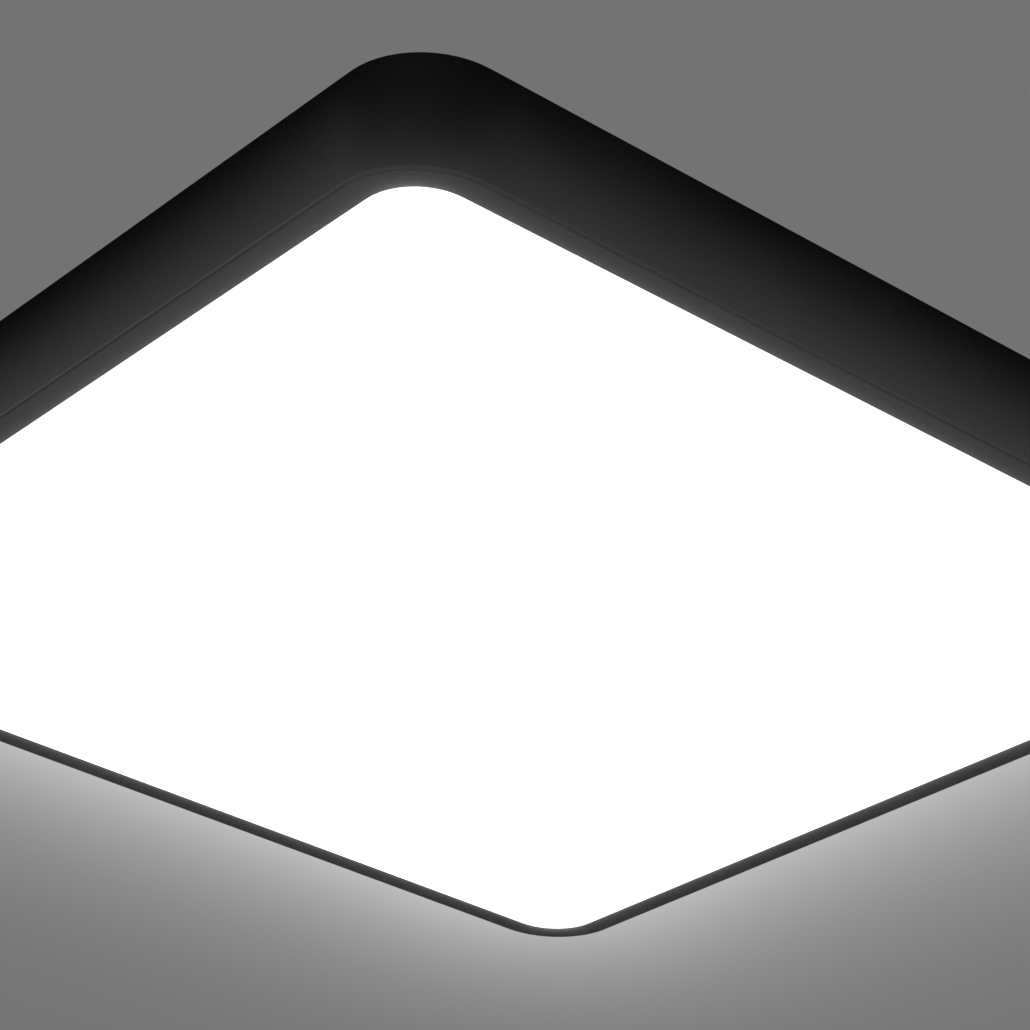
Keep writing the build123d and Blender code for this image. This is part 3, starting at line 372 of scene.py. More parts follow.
across_x = strip_steel("strip_steel_along_x", (LINES_CLOSE, LINES_LONG, LINES_LONG))
across_y = strip_steel("strip_steel_along_y", (LINES_LONG, LINES_CLOSE, LINES_LONG))
dress(across_x, "spring_clip_front", "spring_clip_back")
dress(across_y, "spring_clip_right", "spring_clip_left")

# Light boards: eight strips of aluminium-backed board in two square rings, screwed under the pan.
# The face is white solder mask over two wide copper tracks, and the cut edges show the aluminium.
OUTER_RING = 0.1878
INNER_RING = 0.100
BOARD_FACE_Z = -0.0142
MASK_DEPTH = (0.00015, 0.0002)
MASK_DARK = (0.80, 0.80, 0.78)
MASK_LIGHT = (0.87, 0.87, 0.86)
MASK_ROUGHNESS = (0.32, 0.45)
MASK_GRAIN = 0.25
EMITTER_PITCH = 0.048
TRACK_AT = 0.0052
TRACK_HALF = 0.0026
TRACK_SOFT = 0.00015
TRACK_BREAK = (0.0006, 0.0007)
TRACK_TINT = (0.78, 0.75, 0.66)
TRACK_SHOWS = 0.55
EDGE_METAL = (0.60, 0.61, 0.62)


def solder_mask(name, along, across, ring):
    """White mask with the tracks showing through as raised bands, and bare metal at the edges."""
    material, tree, shader, spot = new_finish(name)
    mask = clouded(tree, shader, spot, MASK_DARK, MASK_LIGHT, MASK_ROUGHNESS, clouds=60.0, grains=2200.0)
    parts = node(tree, "SeparateXYZ", {"Vector": spot}).outputs
    from_middle = apart(tree, work_out(tree, "ABSOLUTE", parts[across]), ring)
    from_track = apart(tree, from_middle, TRACK_AT)
    band = spread(tree, from_track, TRACK_HALF, TRACK_HALF - TRACK_SOFT)
    step = work_out(tree, "PINGPONG", parts[along], EMITTER_PITCH)
    whole = spread(tree, apart(tree, step, EMITTER_PITCH / 2), *TRACK_BREAK)
    track = work_out(tree, "MULTIPLY", band, whole)
    shows = work_out(tree, "MULTIPLY", track, TRACK_SHOWS)
    printed = blend(tree, shows, mask["Color"], rgba(TRACK_TINT))
    core = spread(tree, parts["Z"], *[BOARD_FACE_Z + depth for depth in MASK_DEPTH])
    feed(tree, shader, Base_Color=blend(tree, core, printed, rgba(EDGE_METAL)), Metallic=core)
    height = work_out(tree, "ADD", track, work_out(tree, "MULTIPLY", mask["Height"], MASK_GRAIN))
    relief(tree, shader, height, strength=0.5, depth=0.00006)
    return material


for ring_name, ring in (("outer", OUTER_RING), ("inner", INNER_RING)):
    mask_along_x = solder_mask(f"solder_mask_{ring_name}_x", "X", "Y", ring)
    mask_along_y = solder_mask(f"solder_mask_{ring_name}_y", "Y", "X", ring)
    dress(mask_along_x, f"{ring_name}_board_front", f"{ring_name}_board_back")
    dress(mask_along_y, f"{ring_name}_board_right", f"{ring_name}_board_left")

# Emitters: forty white ceramic packages soldered to the boards, each with a recessed well of yellow phosphor.
# They are modelled once, with a bevelled frame, and copied to every place on the two rings.
EMITTER_SIZE = (0.0035, 0.0028, 0.0007)
EMITTER_FRAME = 0.00045
EMITTER_BEVEL = 0.0003
WELL_DEPTH = 0.00012
OUTER_EMITTERS = 7
INNER_EMITTERS = 3
PHOSPHOR_DARK = (0.80, 0.56, 0.10)
PHOSPHOR_LIGHT = (0.92, 0.72, 0.22)
PHOSPHOR_ROUGHNESS = (0.25, 0.4)
CERAMIC_DARK = (0.78, 0.77, 0.73)
CERAMIC_LIGHT = (0.88, 0.87, 0.84)


def phosphor():
    """Cast silicone full of phosphor grains, which glows when lit."""
    material, tree, shader, spot = new_finish("phosphor_well", Emission_Strength=1.2, Coat_Weight=0.4)
    cast = clouded(tree, shader, spot, PHOSPHOR_DARK, PHOSPHOR_LIGHT, PHOSPHOR_ROUGHNESS, clouds=900.0,
                   grains=9000.0)
    feed(tree, shader, Emission_Color=cast["Color"])
    relief(tree, shader, cast["Height"], strength=0.2, depth=0.00002)
    return material


def block(size, middle_z, turn=0.0):
    """A plain block on the Z axis, turned about it."""
    clear_selection()
    bpy.ops.mesh.primitive_cube_add(size=1, location=(0, 0, middle_z))
    made = bpy.context.object
    made.scale = size
    made.rotation_euler = (0, 0, turn)
    bpy.ops.object.transform_apply(location=True, rotation=True, scale=True)
    return made


def emitter_package():
    """A small block with its upright edges bevelled, and the well inset and sunk into its lower face."""
    ceramic = grained("emitter_ceramic", CERAMIC_DARK, CERAMIC_LIGHT, roughness=(0.45, 0.6), clouds=400.0,
                      grains=7000.0, strength=0.2, depth=0.00002)
    package = block(EMITTER_SIZE, BOARD_FACE_Z - EMITTER_SIZE[2] / 2)
    package.data.materials.append(ceramic)
    package.data.materials.append(phosphor())
    bpy.ops.object.mode_set(mode="EDIT")
    pick(package, "FACE", lambda middle, normal: normal.z < -FACING)
    bpy.ops.mesh.inset(thickness=EMITTER_FRAME)
    bpy.ops.transform.translate(value=(0, 0, WELL_DEPTH))
    package.active_material_index = 1
    bpy.ops.object.material_slot_assign()
    pick(package, "EDGE", lambda middle, run: abs(run.z) > FACING)
    bpy.ops.mesh.bevel(offset=EMITTER_BEVEL, segments=2)
    bpy.ops.object.mode_set(mode="OBJECT")
    return package


def round_ring(ring, steps, height=0.0):
    """Places along the front side of a ring, and the same places turned to its other three sides."""
    for quarter in range(4):
        turn = Matrix.Rotation(quarter * math.pi / 2, 4, "Z")
        for step in steps:
            yield turn @ Matrix.Translation((step, -ring, height))


package = emitter_package()
settle(package)
places = []
for ring, count in ((OUTER_RING, OUTER_EMITTERS), (INNER_RING, INNER_EMITTERS)):
    steps = [(number - count // 2) * EMITTER_PITCH for number in range(count)]
    places.extend(round_ring(ring, steps))
emitters = join([copy_at(package, place) for place in places], "emitter_packages")
bpy.data.objects.remove(package)
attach(emitters, "base")
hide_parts("led_emitters")

# Lenses: clear moulded acrylic domes with a dimple, glued over the emitters to spread their light sideways.
# The moulding leaves very faint flow clouds in the gloss.
LENS_CLEAR = (0.96, 0.97, 0.97)
LENS_CLOUD = (0.92, 0.94, 0.95)

acrylic = grained("lens_acrylic", LENS_CLOUD, LENS_CLEAR, roughness=(0.05, 0.16), clouds=180.0, grains=1500.0,
                  strength=0.05, depth=0.00002, Transmission_Weight=0.88, IOR=1.49)
for ring_name in ("outer", "inner"):
    dress(acrylic, *[f"{ring_name}_lenses_{side}" for side in ("front", "right", "back", "left")])

# Connectors: white nylon plugs at the board ends that take the jumper and feed wires.
# They are injection-moulded, with a dry, slightly uneven surface.
NYLON_DARK = (0.72, 0.71, 0.66)
NYLON_LIGHT = (0.82, 0.81, 0.77)

dress(grained("plug_nylon", NYLON_DARK, NYLON_LIGHT, roughness=(0.42, 0.56)), "board_plugs")

# Jumper and feed wires: stranded copper in soft PVC, one red and one black core side by side.
# The sleeve is extruded, so it has a low sheen and slight colour clouds.
WIRE_COLOURS = {
    "red": ((0.42, 0.015, 0.012), (0.56, 0.03, 0.02)),
    "black": ((0.012, 0.012, 0.013), (0.03, 0.03, 0.032)),
    "brown": ((0.12, 0.045, 0.018), (0.18, 0.07, 0.03)),
    "blue": ((0.012, 0.07, 0.32), (0.02, 0.11, 0.44)),
    "green": ((0.02, 0.24, 0.05), (0.03, 0.33, 0.08)),
}


def wire_sleeve(name):
    """Extruded PVC in one of the core colours."""
    dark, light = WIRE_COLOURS[name]
    return grained(f"{name}_sleeve", dark, light, roughness=(0.32, 0.46), clouds=160.0, grains=1800.0,
                   depth=0.00003)


for core in ("red", "black"):
    dress(wire_sleeve(core), f"board_jumpers_{core}", f"feed_leads_{core}")

# Driver: a two-part white polycarbonate case, snapped together over a brown circuit board.
# Inside are a taped transformer and four sleeved capacitors.
CASE_DARK = (0.76, 0.76, 0.74)
CASE_LIGHT = (0.84, 0.84, 0.82)
LAMINATE_DARK = (0.20, 0.11, 0.04)
LAMINATE_LIGHT = (0.30, 0.17, 0.07)
CAN_DARK = (0.015, 0.015, 0.018)
CAN_LIGHT = (0.035, 0.035, 0.04)
TAPE_DARK = (0.62, 0.47, 0.05)
TAPE_LIGHT = (0.78, 0.62, 0.12)
TAPE_ROUGHNESS = (0.22, 0.36)
TAPE_WIDTH = 0.0045
WAVE_AT_SCALE_ONE = 0.314


def wound_tape():
    """Polyester tape wound round the transformer, with a line at each lap."""
    material, tree, shader, spot = new_finish("wound_tape")
    tape = clouded(tree, shader, spot, TAPE_DARK, TAPE_LIGHT, TAPE_ROUGHNESS, clouds=120.0, grains=1600.0)
    wound = {"Vector": spot, "Scale": WAVE_AT_SCALE_ONE / TAPE_WIDTH, "Distortion": 0.4}
    laps = node(tree, "TexWave", wound, bands_direction="Z", wave_profile="SAW").outputs["Fac"]
    relief(tree, shader, work_out(tree, "ADD", laps, tape["Height"]), strength=0.4, depth=0.00008)
    return material


case = grained("case_polycarbonate", CASE_DARK, CASE_LIGHT, roughness=(0.40, 0.55), grains=3200.0,
               depth=0.00008)
laminate = grained("paper_laminate", LAMINATE_DARK, LAMINATE_LIGHT, roughness=(0.45, 0.6), grains=1400.0)
can_sleeve = grained("capacitor_sleeve", CAN_DARK, CAN_LIGHT, roughness=(0.25, 0.4), clouds=200.0)
dress(case, "driver_base", "driver_cover")
dress(laminate, "driver_circuit_board")
dress(can_sleeve, "driver_capacitors")
dress(wound_tape(), "driver_transformer")

# Screws: plated pan-head screws with a cross recess and a coarse tapping thread.
# They hold the boards, the driver's ears, the terminal and the earth tag to the pan.
SCREW_HEAD_RADIUS = 0.0028
SCREW_HEAD_HEIGHT = 0.0018
SCREW_HEAD_ROUND = 0.6
SCREW_HEAD_SIDES = 32
SCREW_SHANK_RADIUS = 0.00115
SCREW_SHANK_SIDES = 16
SCREW_LENGTH = 0.003
SCREW_POINT = 0.0004
SCREW_THREAD_RADIUS = 0.00145
SCREW_THREAD_END = 0.0028
SCREW_THREAD_STEPS = 12
SCREW_PITCH = 0.0009
SCREW_TURN = 0.7
RECESS_REACH = 0.0017
RECESS_WIDTH = 0.00055
RECESS_DEPTH = 0.0011
RECESS_TAPER = 0.45
OUTER_SCREW_STEP = 0.120
INNER_SCREW_STEP = 0.024
DRIVER_SEATS = [(-0.0705, 0.021, -0.0146), (0.0705, 0.055, -0.0146)]
TERMINAL_SEATS = [(-0.028, -0.0566, -0.0150), (-0.028, -0.0274, -0.0150)]
EARTH_SEAT = (-0.062, -0.076, -0.0138)


def recess_blade(turn):
    """One of the two tapered blades of the punch that cuts the cross recess."""
    blade = block((2 * RECESS_REACH, RECESS_WIDTH, 2 * RECESS_DEPTH), -SCREW_HEAD_HEIGHT, turn)
    bpy.ops.object.mode_set(mode="EDIT")
    pick(blade, "FACE", lambda middle, normal: normal.z > FACING)
    top = (0, 0, RECESS_DEPTH - SCREW_HEAD_HEIGHT)
    bpy.ops.transform.resize(value=(RECESS_TAPER, RECESS_TAPER, 1), center_override=top)
    bpy.ops.object.mode_set(mode="OBJECT")
    return blade


def cross_screw():
    """Rounded head with its recess cut by the punch, and a threaded shank above it."""
    head = cylinder(SCREW_HEAD_RADIUS, -SCREW_HEAD_HEIGHT, 0.0, SCREW_HEAD_SIDES)
    bpy.ops.object.mode_set(mode="EDIT")
    pick(head, "FACE", lambda middle, normal: normal.z < -FACING)
    bpy.ops.mesh.bevel(offset=SCREW_HEAD_HEIGHT * SCREW_HEAD_ROUND, segments=5)
    bpy.ops.object.mode_set(mode="OBJECT")
    for turn in (0.0, math.pi / 2):
        blade = recess_blade(turn)
        clear_selection()
        bpy.context.view_layer.objects.active = head
        cut = head.modifiers.new("recess", "BOOLEAN")
        cut.operation = "DIFFERENCE"
        cut.solver = "EXACT"
        cut.object = blade
        bpy.ops.object.modifier_apply(modifier="recess")
        bpy.data.objects.remove(blade)
    shank = cylinder(SCREW_SHANK_RADIUS, 0.0, SCREW_LENGTH, SCREW_SHANK_SIDES)
    bpy.ops.object.mode_set(mode="EDIT")
    pick(shank, "FACE", lambda middle, normal: normal.z > FACING)
    bpy.ops.mesh.bevel(offset=SCREW_POINT, segments=1)
    bpy.ops.object.mode_set(mode="OBJECT")
    ridge = thread_ridge(SCREW_SHANK_RADIUS, SCREW_THREAD_RADIUS, SCREW_PITCH, 0.0, SCREW_THREAD_END,
                         SCREW_THREAD_STEPS)
    return join([head, shank, ridge], "cross_screw")


one_screw = cross_screw()
settle(one_screw)
one_screw.data.materials.append(zinc)


def set_screws(name, node_name, seats):
    """Copies of the screw at their seats, each turned a little further, as one piece for the CAD screws."""
    made = []
    for count, seat in enumerate(seats):
        turn = Matrix.Rotation(SCREW_TURN * count, 4, "Z")
        made.append(copy_at(one_screw, Matrix.Translation(seat) @ turn))
    piece = join(made, name)
    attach(piece, "base")
    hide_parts(node_name)


board_seats = []
for ring, step in ((OUTER_RING, OUTER_SCREW_STEP), (INNER_RING, INNER_SCREW_STEP)):
    board_seats.extend(place.to_translation() for place in round_ring(ring, (-step, step), BOARD_FACE_Z))
set_screws("board_cross_screws", "board_screws", board_seats)
set_screws("driver_cross_screws", "driver_screws", DRIVER_SEATS)
set_screws("terminal_cross_screws", "terminal_screws", TERMINAL_SEATS)
set_screws("earth_cross_screw", "earth_screw", [EARTH_SEAT])
bpy.data.objects.remove(one_screw)

# Lever terminal: a grey nylon housing for three poles, with a dark lever on a steel pin for each pole.
# The levers have soft clouds of gloss.
HOUSING_DARK = (0.40, 0.41, 0.42)
HOUSING_LIGHT = (0.50, 0.51, 0.52)
LEVER_DARK = (0.045, 0.047, 0.05)
LEVER_LIGHT = (0.085, 0.088, 0.092)

dress(grained("housing_nylon", HOUSING_DARK, HOUSING_LIGHT, roughness=(0.40, 0.55)), "terminal_housing")
lever_nylon = grained("lever_nylon", LEVER_DARK, LEVER_LIGHT, roughness=(0.22, 0.48), clouds=260.0)
dress(lever_nylon, *[f"terminal_lever_{pole}" for pole in ("live", "neutral", "earth")])
dress(zinc, "terminal_pin")

# Mains leads: solid-core PVC leads from the terminal to the driver and to the earth tag.
# The tag is tinned copper, crimped on the green lead and held by a screw through the pan.
TIN_DARK = (0.52, 0.52, 0.51)
TIN_LIGHT = (0.70, 0.70, 0.69)

for core, pole in (("brown", "live"), ("blue", "neutral"), ("green", "earth")):
    dress(wire_sleeve(core), f"{pole}_lead")
tinned_copper = grained("tinned_copper", TIN_DARK, TIN_LIGHT, roughness=(0.25, 0.42), clouds=300.0,
                        grains=3000.0, Metallic=1.0)
dress(tinned_copper, "earth_tag")

# Cable grommet: a soft black rubber ring pressed into the pan's hole, where the supply cable comes through.
# It is moulded, dull, and slightly bloomed with age.
RUBBER_DARK = (0.012, 0.012, 0.012)
RUBBER_LIGHT = (0.045, 0.045, 0.046)

rubber = grained("grommet_rubber", RUBBER_DARK, RUBBER_LIGHT, roughness=(0.6, 0.8), clouds=130.0,
                 grains=2000.0)
dress(rubber, "cable_grommet")

# Thumb nuts: two turned brass nuts with fluted grips, run up the studs against the washers.
# The lathe leaves fine rings round their axis, with painted shade in their grooves, and the brass has a
# light, uneven tarnish.
BRASS_DARK = (0.62, 0.41, 0.14)
BRASS_LIGHT = (0.80, 0.57, 0.24)
BRASS_ROUGHNESS = (0.13, 0.24)
GROOVE_PAINTED_SHADE = (0.42, 0.26, 0.08)
GROOVE_SHADE_SHARE = 0.45
GROOVE_SHADE_EDGE = 0.35
LATHE_RING = 0.0004


def turned_brass():
    """Brass with lathe rings round each nut's own axis, painted shade in the ring grooves, and clouds of
    light tarnish.
    """
    material, tree, shader, spot = new_finish("turned_brass", Metallic=1.0)
    tarnish = clouded(tree, shader, spot, BRASS_DARK, BRASS_LIGHT, BRASS_ROUGHNESS, clouds=90.0,
                      grains=700.0)
    folded = node(tree, "VectorMath", {0: spot}, operation="ABSOLUTE").outputs[0]
    centred = node(tree, "Mapping", {"Vector": folded, "Location": (-STUD_X, 0, 0)}).outputs[0]
    turning = {"Vector": centred, "Scale": WAVE_AT_SCALE_ONE / LATHE_RING, "Distortion": 0.6}
    rings = node(tree, "TexWave", turning, wave_type="RINGS", rings_direction="Z").outputs["Fac"]
    # Painted shade: the ring grooves are darkened towards a deeper brass colour.
    groove_shade = spread(tree, rings, GROOVE_SHADE_EDGE, 0.0, 0.0, GROOVE_SHADE_SHARE)
    feed(tree, shader, Base_Color=blend(tree, groove_shade, tarnish["Color"], rgba(GROOVE_PAINTED_SHADE)))
    relief(tree, shader, rings, strength=0.35, depth=0.00004)
    return material


dress(turned_brass(), "thumb_nut_left", "thumb_nut_right")

# Rim: an extruded aluminium profile bent round into a square, butted together at the back and powder-coated.
# A riveted plate inside holds the joint. The coat is satin black, fine and even, with a hairline
# at the joint, and a painted glow beside the window that stands in for light from the diffuser's edge.
COAT_DARK = (0.0032, 0.0032, 0.0034)
COAT_LIGHT = (0.0054, 0.0054, 0.0057)
COAT_ROUGHNESS = (0.24, 0.29)
JOINT_X = 0.070
JOINT_GAP = 0.00012
JOINT_SINK = -6.0
RIM_FACE_Z = -0.050
WINDOW_HALF = 0.239
RIM_PAINTED_GLOW_ROUND = 0.0195
RIM_PAINTED_GLOW_LEVEL = 0.060
RIM_PAINTED_GLOW_LENGTH = 0.0028


def beyond_square(tree, parts, halves, rounding, power=2.0):
    """How far a point lies outside a square with rounded corners, seen from below."""
    past = []
    for axis, half in zip("XY", halves):
        outside = work_out(tree, "SUBTRACT", work_out(tree, "ABSOLUTE", parts[axis]), half - rounding)
        past.append(work_out(tree, "POWER", work_out(tree, "MAXIMUM", outside, 0.0), power))
    reach = work_out(tree, "POWER", work_out(tree, "ADD", *past), 1 / power)
    return work_out(tree, "SUBTRACT", reach, rounding)


def fading(tree, distance, length):
    """A level that falls from 1 by the same share over each such length."""
    return work_out(tree, "EXPONENT", work_out(tree, "MULTIPLY", distance, -1 / length))


def powder_coat():
    """Satin black powder coat with a fine flow texture, sunk a little at the rim's butt joint.
    Beside the window it has a painted glow, emission that stands in for light leaving the diffuser's edge,
    most at the corners."""
    material, tree, shader, spot = new_finish("satin_powder_coat", Emission_Strength=1.0)
    coat = clouded(tree, shader, spot, COAT_DARK, COAT_LIGHT, COAT_ROUGHNESS, clouds=22.0, grains=2600.0)
    parts = node(tree, "SeparateXYZ", {"Vector": spot}).outputs
    sink = spread(tree, apart(tree, parts["X"], JOINT_X), JOINT_GAP / 2, JOINT_GAP, JOINT_SINK, 0.0)
    hairline = work_out(tree, "MULTIPLY", sink, work_out(tree, "GREATER_THAN", parts["Y"], 0.0))
    relief(tree, shader, work_out(tree, "ADD", coat["Height"], hairline), strength=0.12, depth=0.00003)
    # Painted glow: emission in the black coat that fades away from the window's edge and up from the face.
    aside = beyond_square(tree, parts, (WINDOW_HALF, WINDOW_HALF), RIM_PAINTED_GLOW_ROUND)
    above = work_out(tree, "SUBTRACT", parts["Z"], RIM_FACE_Z)
    fall = fading(tree, work_out(tree, "ADD", aside, above), RIM_PAINTED_GLOW_LENGTH)
    level = work_out(tree, "MULTIPLY", fall, RIM_PAINTED_GLOW_LEVEL)
    painted_glow_colour = node(tree, "CombineColor", dict.fromkeys(range(3), level))
    feed(tree, shader, Emission_Color=painted_glow_colour.outputs[0])
    return material


dress(powder_coat(), "rim", "rim_joint_plate", "rim_joint_rivets")

# Gasket and leaf retainers: a closed-cell foam ring under the diffuser's flange, and twelve sheet-steel
# leaves wedged under the rim's lower rib, which press the flange down on the ring.
FOAM_DARK = (0.02, 0.02, 0.021)
FOAM_LIGHT = (0.055, 0.055, 0.057)
FOAM_ROUGHNESS = (0.75, 0.9)
FOAM_CELL = 0.0005


def foam():
    """Closed-cell foam: open pits where the cells were cut."""
    material, tree, shader, spot = new_finish("closed_cell_foam")
    sponge = clouded(tree, shader, spot, FOAM_DARK, FOAM_LIGHT, FOAM_ROUGHNESS, clouds=90.0, grains=1500.0)
    cells = node(tree, "TexVoronoi", {"Vector": spot, "Scale": 1 / FOAM_CELL}).outputs["Distance"]
    relief(tree, shader, work_out(tree, "ADD", cells, sponge["Height"]), strength=0.6, depth=0.0002)
    return material


dress(foam(), "diffuser_gasket")
dress(zinc, "diffuser_retainers")

# Diffuser: a moulded opal acrylic tray that fills the rim's window and glows evenly when the light is on.
# Its face is satin, with faint flow clouds and a very fine grain.
OPAL_DARK = (0.83, 0.83, 0.82)
OPAL_LIGHT = (0.89, 0.89, 0.885)
OPAL_ROUGHNESS = (0.38, 0.46)
GLOW_EDGE = (0.97, 0.97, 0.965)
GLOW_MIDDLE = (1.0, 1.0, 1.0)
GLOW_INSIDE = (0.24, 0.24, 0.238)
GLOW_FADE = (1.4, 0.5)
DIFFUSER_HALF = 0.2386
DIFFUSER_FACE_Z = -0.0498
DIFFUSER_SKIN = 0.002


def opal():
    """Opal acrylic that glows on its face, a little less at the edges, and much less on its inner side."""
    material, tree, shader, spot = new_finish("opal_acrylic_lit", Emission_Strength=1.0)
    flow = clouded(tree, shader, spot, OPAL_DARK, OPAL_LIGHT, OPAL_ROUGHNESS, clouds=9.0, grains=3000.0)
    away = node(tree, "VectorMath", {0: spot}, operation="LENGTH").outputs["Value"]
    inwards = spread(tree, away, *[DIFFUSER_HALF * share for share in GLOW_FADE])
    face = blend(tree, inwards, rgba(GLOW_EDGE), rgba(GLOW_MIDDLE))
    height = node(tree, "SeparateXYZ", {"Vector": spot}).outputs["Z"]
    depth = spread(tree, height, DIFFUSER_FACE_Z + DIFFUSER_SKIN / 2, DIFFUSER_FACE_Z + DIFFUSER_SKIN)
    feed(tree, shader, Emission_Color=blend(tree, depth, face, rgba(GLOW_INSIDE)))
    relief(tree, shader, flow["Height"], strength=0.08, depth=0.00003)
    return material


dress(opal(), "diffuser")

# Stage: a plain ceiling that is seen only from below, and a plain pale floor that is seen only from above.
# The ceiling is grey, with a painted glow beside its far sides. Mirror images see both sheets graded with
# painted shade and painted light, so that the rim's walls and face are as dark as in the photograph.
LIGHT_ROUND = 0.035
CEILING_SIZE = 60.0
CEILING_GAP = 0.0005
CEILING_GREY = 0.172
CEILING_TURN = 0.1
CEILING_PAINTED_GLOW_LEVEL = 0.86
CEILING_PAINTED_GLOW_LENGTH = 0.077
CEILING_PAINTED_GLOW_HALVES = (0.250, 0.270)
CEILING_PAINTED_GLOW_POWER = 3.0
MIRROR_HALVES = (0.250, 0.250)
MIRROR_LEVEL = 0.83
MIRROR_FAR = 0.10
MIRROR_RUN = 0.075
MIRROR_CORNER = (-0.455, -0.56)
MIRROR_RISE = (1.55, 5.6)
FLOOR_SIZE = 12.0
FLOOR_Z = -1.5
FLOOR_GREY = (0.82, 0.82, 0.815)
FLOOR_ROUGHNESS = 0.9
FLOOR_MIRROR_SHADE = (0.14, 0.14, 0.139)
FLOOR_MIRROR_SHADE_REACH = (2.2, 3.1)
FLOOR_TURN = 0.5
FLOOR_PAINTED_CARD = (-0.4, -1.6)
FLOOR_PAINTED_CARD_LEVEL = 0.95
FLOOR_HAZE = (2.2, 5.6)
SKY_SEEN = 0.80


def eased(tree, value, start, end):
    """Like spread, with a soft start and a soft end."""
    return spread(tree, value, start, end, interpolation_type="SMOOTHSTEP")


def unseen_from_behind(tree, shown, window=0.0):
    """Let the stage be seen through from its back, and by soft light, shadows and the rays in a window."""
    ray = node(tree, "LightPath").outputs
    open_way = node(tree, "NewGeometry").outputs["Backfacing"]
    for passing in (ray["Is Shadow Ray"], ray["Is Diffuse Ray"], window):
        open_way = work_out(tree, "MAXIMUM", open_way, passing)
    clear = node(tree, "BsdfTransparent").outputs[0]
    mixed = node(tree, "MixShader", {0: open_way, 1: shown, 2: clear})
    tree.links.new(mixed.outputs[0], tree.nodes["Material Output"].inputs["Surface"])


def ceiling_paint():
    """Plain grey with a painted glow by the far sides. In mirror images it has painted shade that darkens
    towards the light's near walls.
    """
    material, tree, shader, spot = new_finish("ceiling_paint")
    tree.nodes.remove(shader)
    parts = node(tree, "SeparateXYZ", {"Vector": spot}).outputs
    diagonal = work_out(tree, "ADD", parts["X"], parts["Y"])
    far_side = eased(tree, diagonal, -CEILING_TURN, CEILING_TURN)
    # Painted glow: emission that fades out from the light's far sides, a pool of light painted on the
    # ceiling.
    fall = fading(tree, beyond_square(tree, parts, CEILING_PAINTED_GLOW_HALVES, LIGHT_ROUND, CEILING_PAINTED_GLOW_POWER), CEILING_PAINTED_GLOW_LENGTH)
    glow = work_out(tree, "MULTIPLY", fall, work_out(tree, "MULTIPLY", far_side, CEILING_PAINTED_GLOW_LEVEL))
    seen = work_out(tree, "ADD", glow, CEILING_GREY)
    # Painted shade for mirror images: what glossy rays see rises from dark at the light's near walls.
    away = beyond_square(tree, parts, MIRROR_HALVES, LIGHT_ROUND)
    power = spread(tree, diagonal, *MIRROR_CORNER, *MIRROR_RISE)
    rise = work_out(tree, "POWER", spread(tree, away, 0.0, MIRROR_RUN), power)
    mirrored = work_out(tree, "MULTIPLY", rise, spread(tree, far_side, 0.0, 1.0, MIRROR_LEVEL, MIRROR_FAR))
    mirror_ray = node(tree, "LightPath").outputs["Is Glossy Ray"]
    level = spread(tree, mirror_ray, 0.0, 1.0, seen, mirrored)
    paint = node(tree, "Emission", {"Strength": level}).outputs[0]
    over_light = work_out(tree, "MULTIPLY", mirror_ray, work_out(tree, "LESS_THAN", away, 0.0))
    unseen_from_behind(tree, paint, over_light)
    return material


def floor_paint():
    """Plain pale floor that is seen only from above and melts into the sky far off.
    Mirror images see painted shade on it beyond the light, and a painted bright card on the near side."""
    material, tree, shader, spot = new_finish("floor_paint", Roughness=FLOOR_ROUGHNESS)
    ray = node(tree, "LightPath").outputs
    parts = node(tree, "SeparateXYZ", {"Vector": spot}).outputs
    diagonal = work_out(tree, "ADD", parts["X"], parts["Y"])
    squares = [work_out(tree, "POWER", parts[axis], 2.0) for axis in "XY"]
    reach = work_out(tree, "SQRT", work_out(tree, "ADD", *squares))
    far_side = eased(tree, diagonal, -FLOOR_TURN, FLOOR_TURN)
    # Painted shade, seen only by glossy rays, on the far side beyond the light.
    beyond = work_out(tree, "MULTIPLY", eased(tree, reach, *FLOOR_MIRROR_SHADE_REACH), far_side)
    shade = work_out(tree, "MULTIPLY", beyond, ray["Is Glossy Ray"])
    feed(tree, shader, Base_Color=blend(tree, shade, rgba(FLOOR_GREY), rgba(FLOOR_MIRROR_SHADE)))
    # Painted reflection: a bright emissive card, seen only by glossy rays, on the near side.
    on_card = work_out(tree, "MULTIPLY", eased(tree, diagonal, *FLOOR_PAINTED_CARD), ray["Is Glossy Ray"])
    in_haze = work_out(tree, "MULTIPLY", eased(tree, reach, *FLOOR_HAZE), ray["Is Camera Ray"])
    shown = shader.outputs[0]
    for share, level in ((on_card, FLOOR_PAINTED_CARD_LEVEL), (in_haze, SKY_SEEN)):
        light = node(tree, "Emission", {"Strength": level}).outputs[0]
        shown = node(tree, "MixShader", {0: share, 1: shown, 2: light}).outputs[0]
    unseen_from_behind(tree, shown)
    return material


def stage_plane(name, size, height, turn, material):
    """One flat sheet of the stage."""
    clear_selection()
    bpy.ops.mesh.primitive_plane_add(size=size, location=(0, 0, height), rotation=(turn, 0, 0))
    bpy.ops.object.transform_apply(location=True, rotation=True)
    sheet = bpy.context.object
    sheet.name = name
    sheet.data.materials.append(material)


stage_plane("stage_ceiling", CEILING_SIZE, CEILING_GAP, math.pi, ceiling_paint())
stage_plane("stage_floor", FLOOR_SIZE, FLOOR_Z, 0.0, floor_paint())

# Soft studio light: an even white sky all round, and one wide lamp high above the light fitting.
# The sky looks a little brighter than it shines, so that what is behind the part stays pale.
SKY_LIGHT = 0.75
SKY_WHITE = (1.0, 1.0, 1.0)
LAMP_PLACE = Vector((-0.5, -0.4, 2.4))
LAMP_WIDTH = 1.6
LAMP_POWER = 18.0

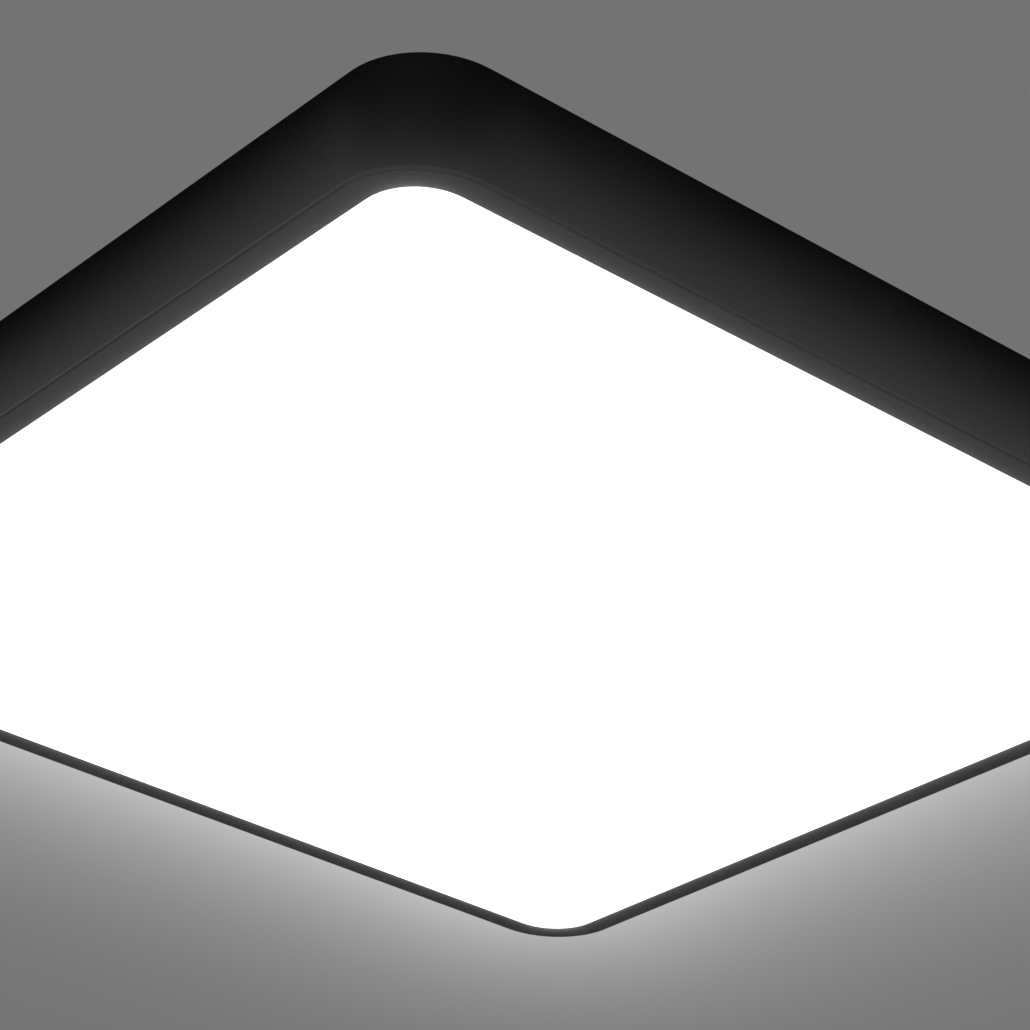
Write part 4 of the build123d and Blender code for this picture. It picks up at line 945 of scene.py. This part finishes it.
sky = bpy.data.worlds.new("soft_sky")
bpy.context.scene.world = sky
sky.use_nodes = True
sky_tree = sky.node_tree
sky_ray = node(sky_tree, "LightPath").outputs
looked_at = work_out(sky_tree, "MAXIMUM", sky_ray["Is Camera Ray"], sky_ray["Is Glossy Ray"])
looked_at = work_out(sky_tree, "MAXIMUM", looked_at, sky_ray["Is Transmission Ray"])
background = sky_tree.nodes["Background"]
background.inputs["Color"].default_value = rgba(SKY_WHITE)
feed(sky_tree, background, Strength=spread(sky_tree, looked_at, 0.0, 1.0, SKY_LIGHT, SKY_SEEN))

lamp = bpy.data.objects.new("lamp_above", bpy.data.lights.new("lamp_above", "AREA"))
lamp.data.size = LAMP_WIDTH
lamp.data.energy = LAMP_POWER
lamp.location = LAMP_PLACE
lamp.rotation_euler = (-LAMP_PLACE).to_track_quat("-Z", "Y").to_euler()
bpy.context.collection.objects.link(lamp)

# Camera: below the light and outside its near corner, where the photograph was taken from.
# It is turned a little about its own axis, as the photograph is.
VIEW_TURN = math.radians(38.64)
VIEW_RISE = math.radians(29.39)
VIEW_ROLL = math.radians(2.9)
VIEW_DISTANCE = 1.54073
VIEW_ASIDE = 0.00484
VIEW_UP = 0.00473
VIEW_LENS = 124.43
VIEW_SENSOR = 36.0

level_run = math.cos(VIEW_RISE)
forward = Vector((math.sin(VIEW_TURN) * level_run, math.cos(VIEW_TURN) * level_run, math.sin(VIEW_RISE)))
right = Vector((math.cos(VIEW_TURN), -math.sin(VIEW_TURN), 0.0))
aim = right * VIEW_ASIDE + right.cross(forward) * VIEW_UP
camera = bpy.data.objects.new("camera", bpy.data.cameras.new("camera"))
bpy.context.collection.objects.link(camera)
camera.data.lens = VIEW_LENS
camera.data.sensor_width = VIEW_SENSOR
camera.location = aim - forward * VIEW_DISTANCE
rolled = forward.to_track_quat("-Z", "Y").to_matrix() @ Matrix.Rotation(VIEW_ROLL, 3, "Z")
camera.rotation_euler = rolled.to_euler()
bpy.context.scene.camera = camera
bpy.context.scene.view_settings.view_transform = "Standard"
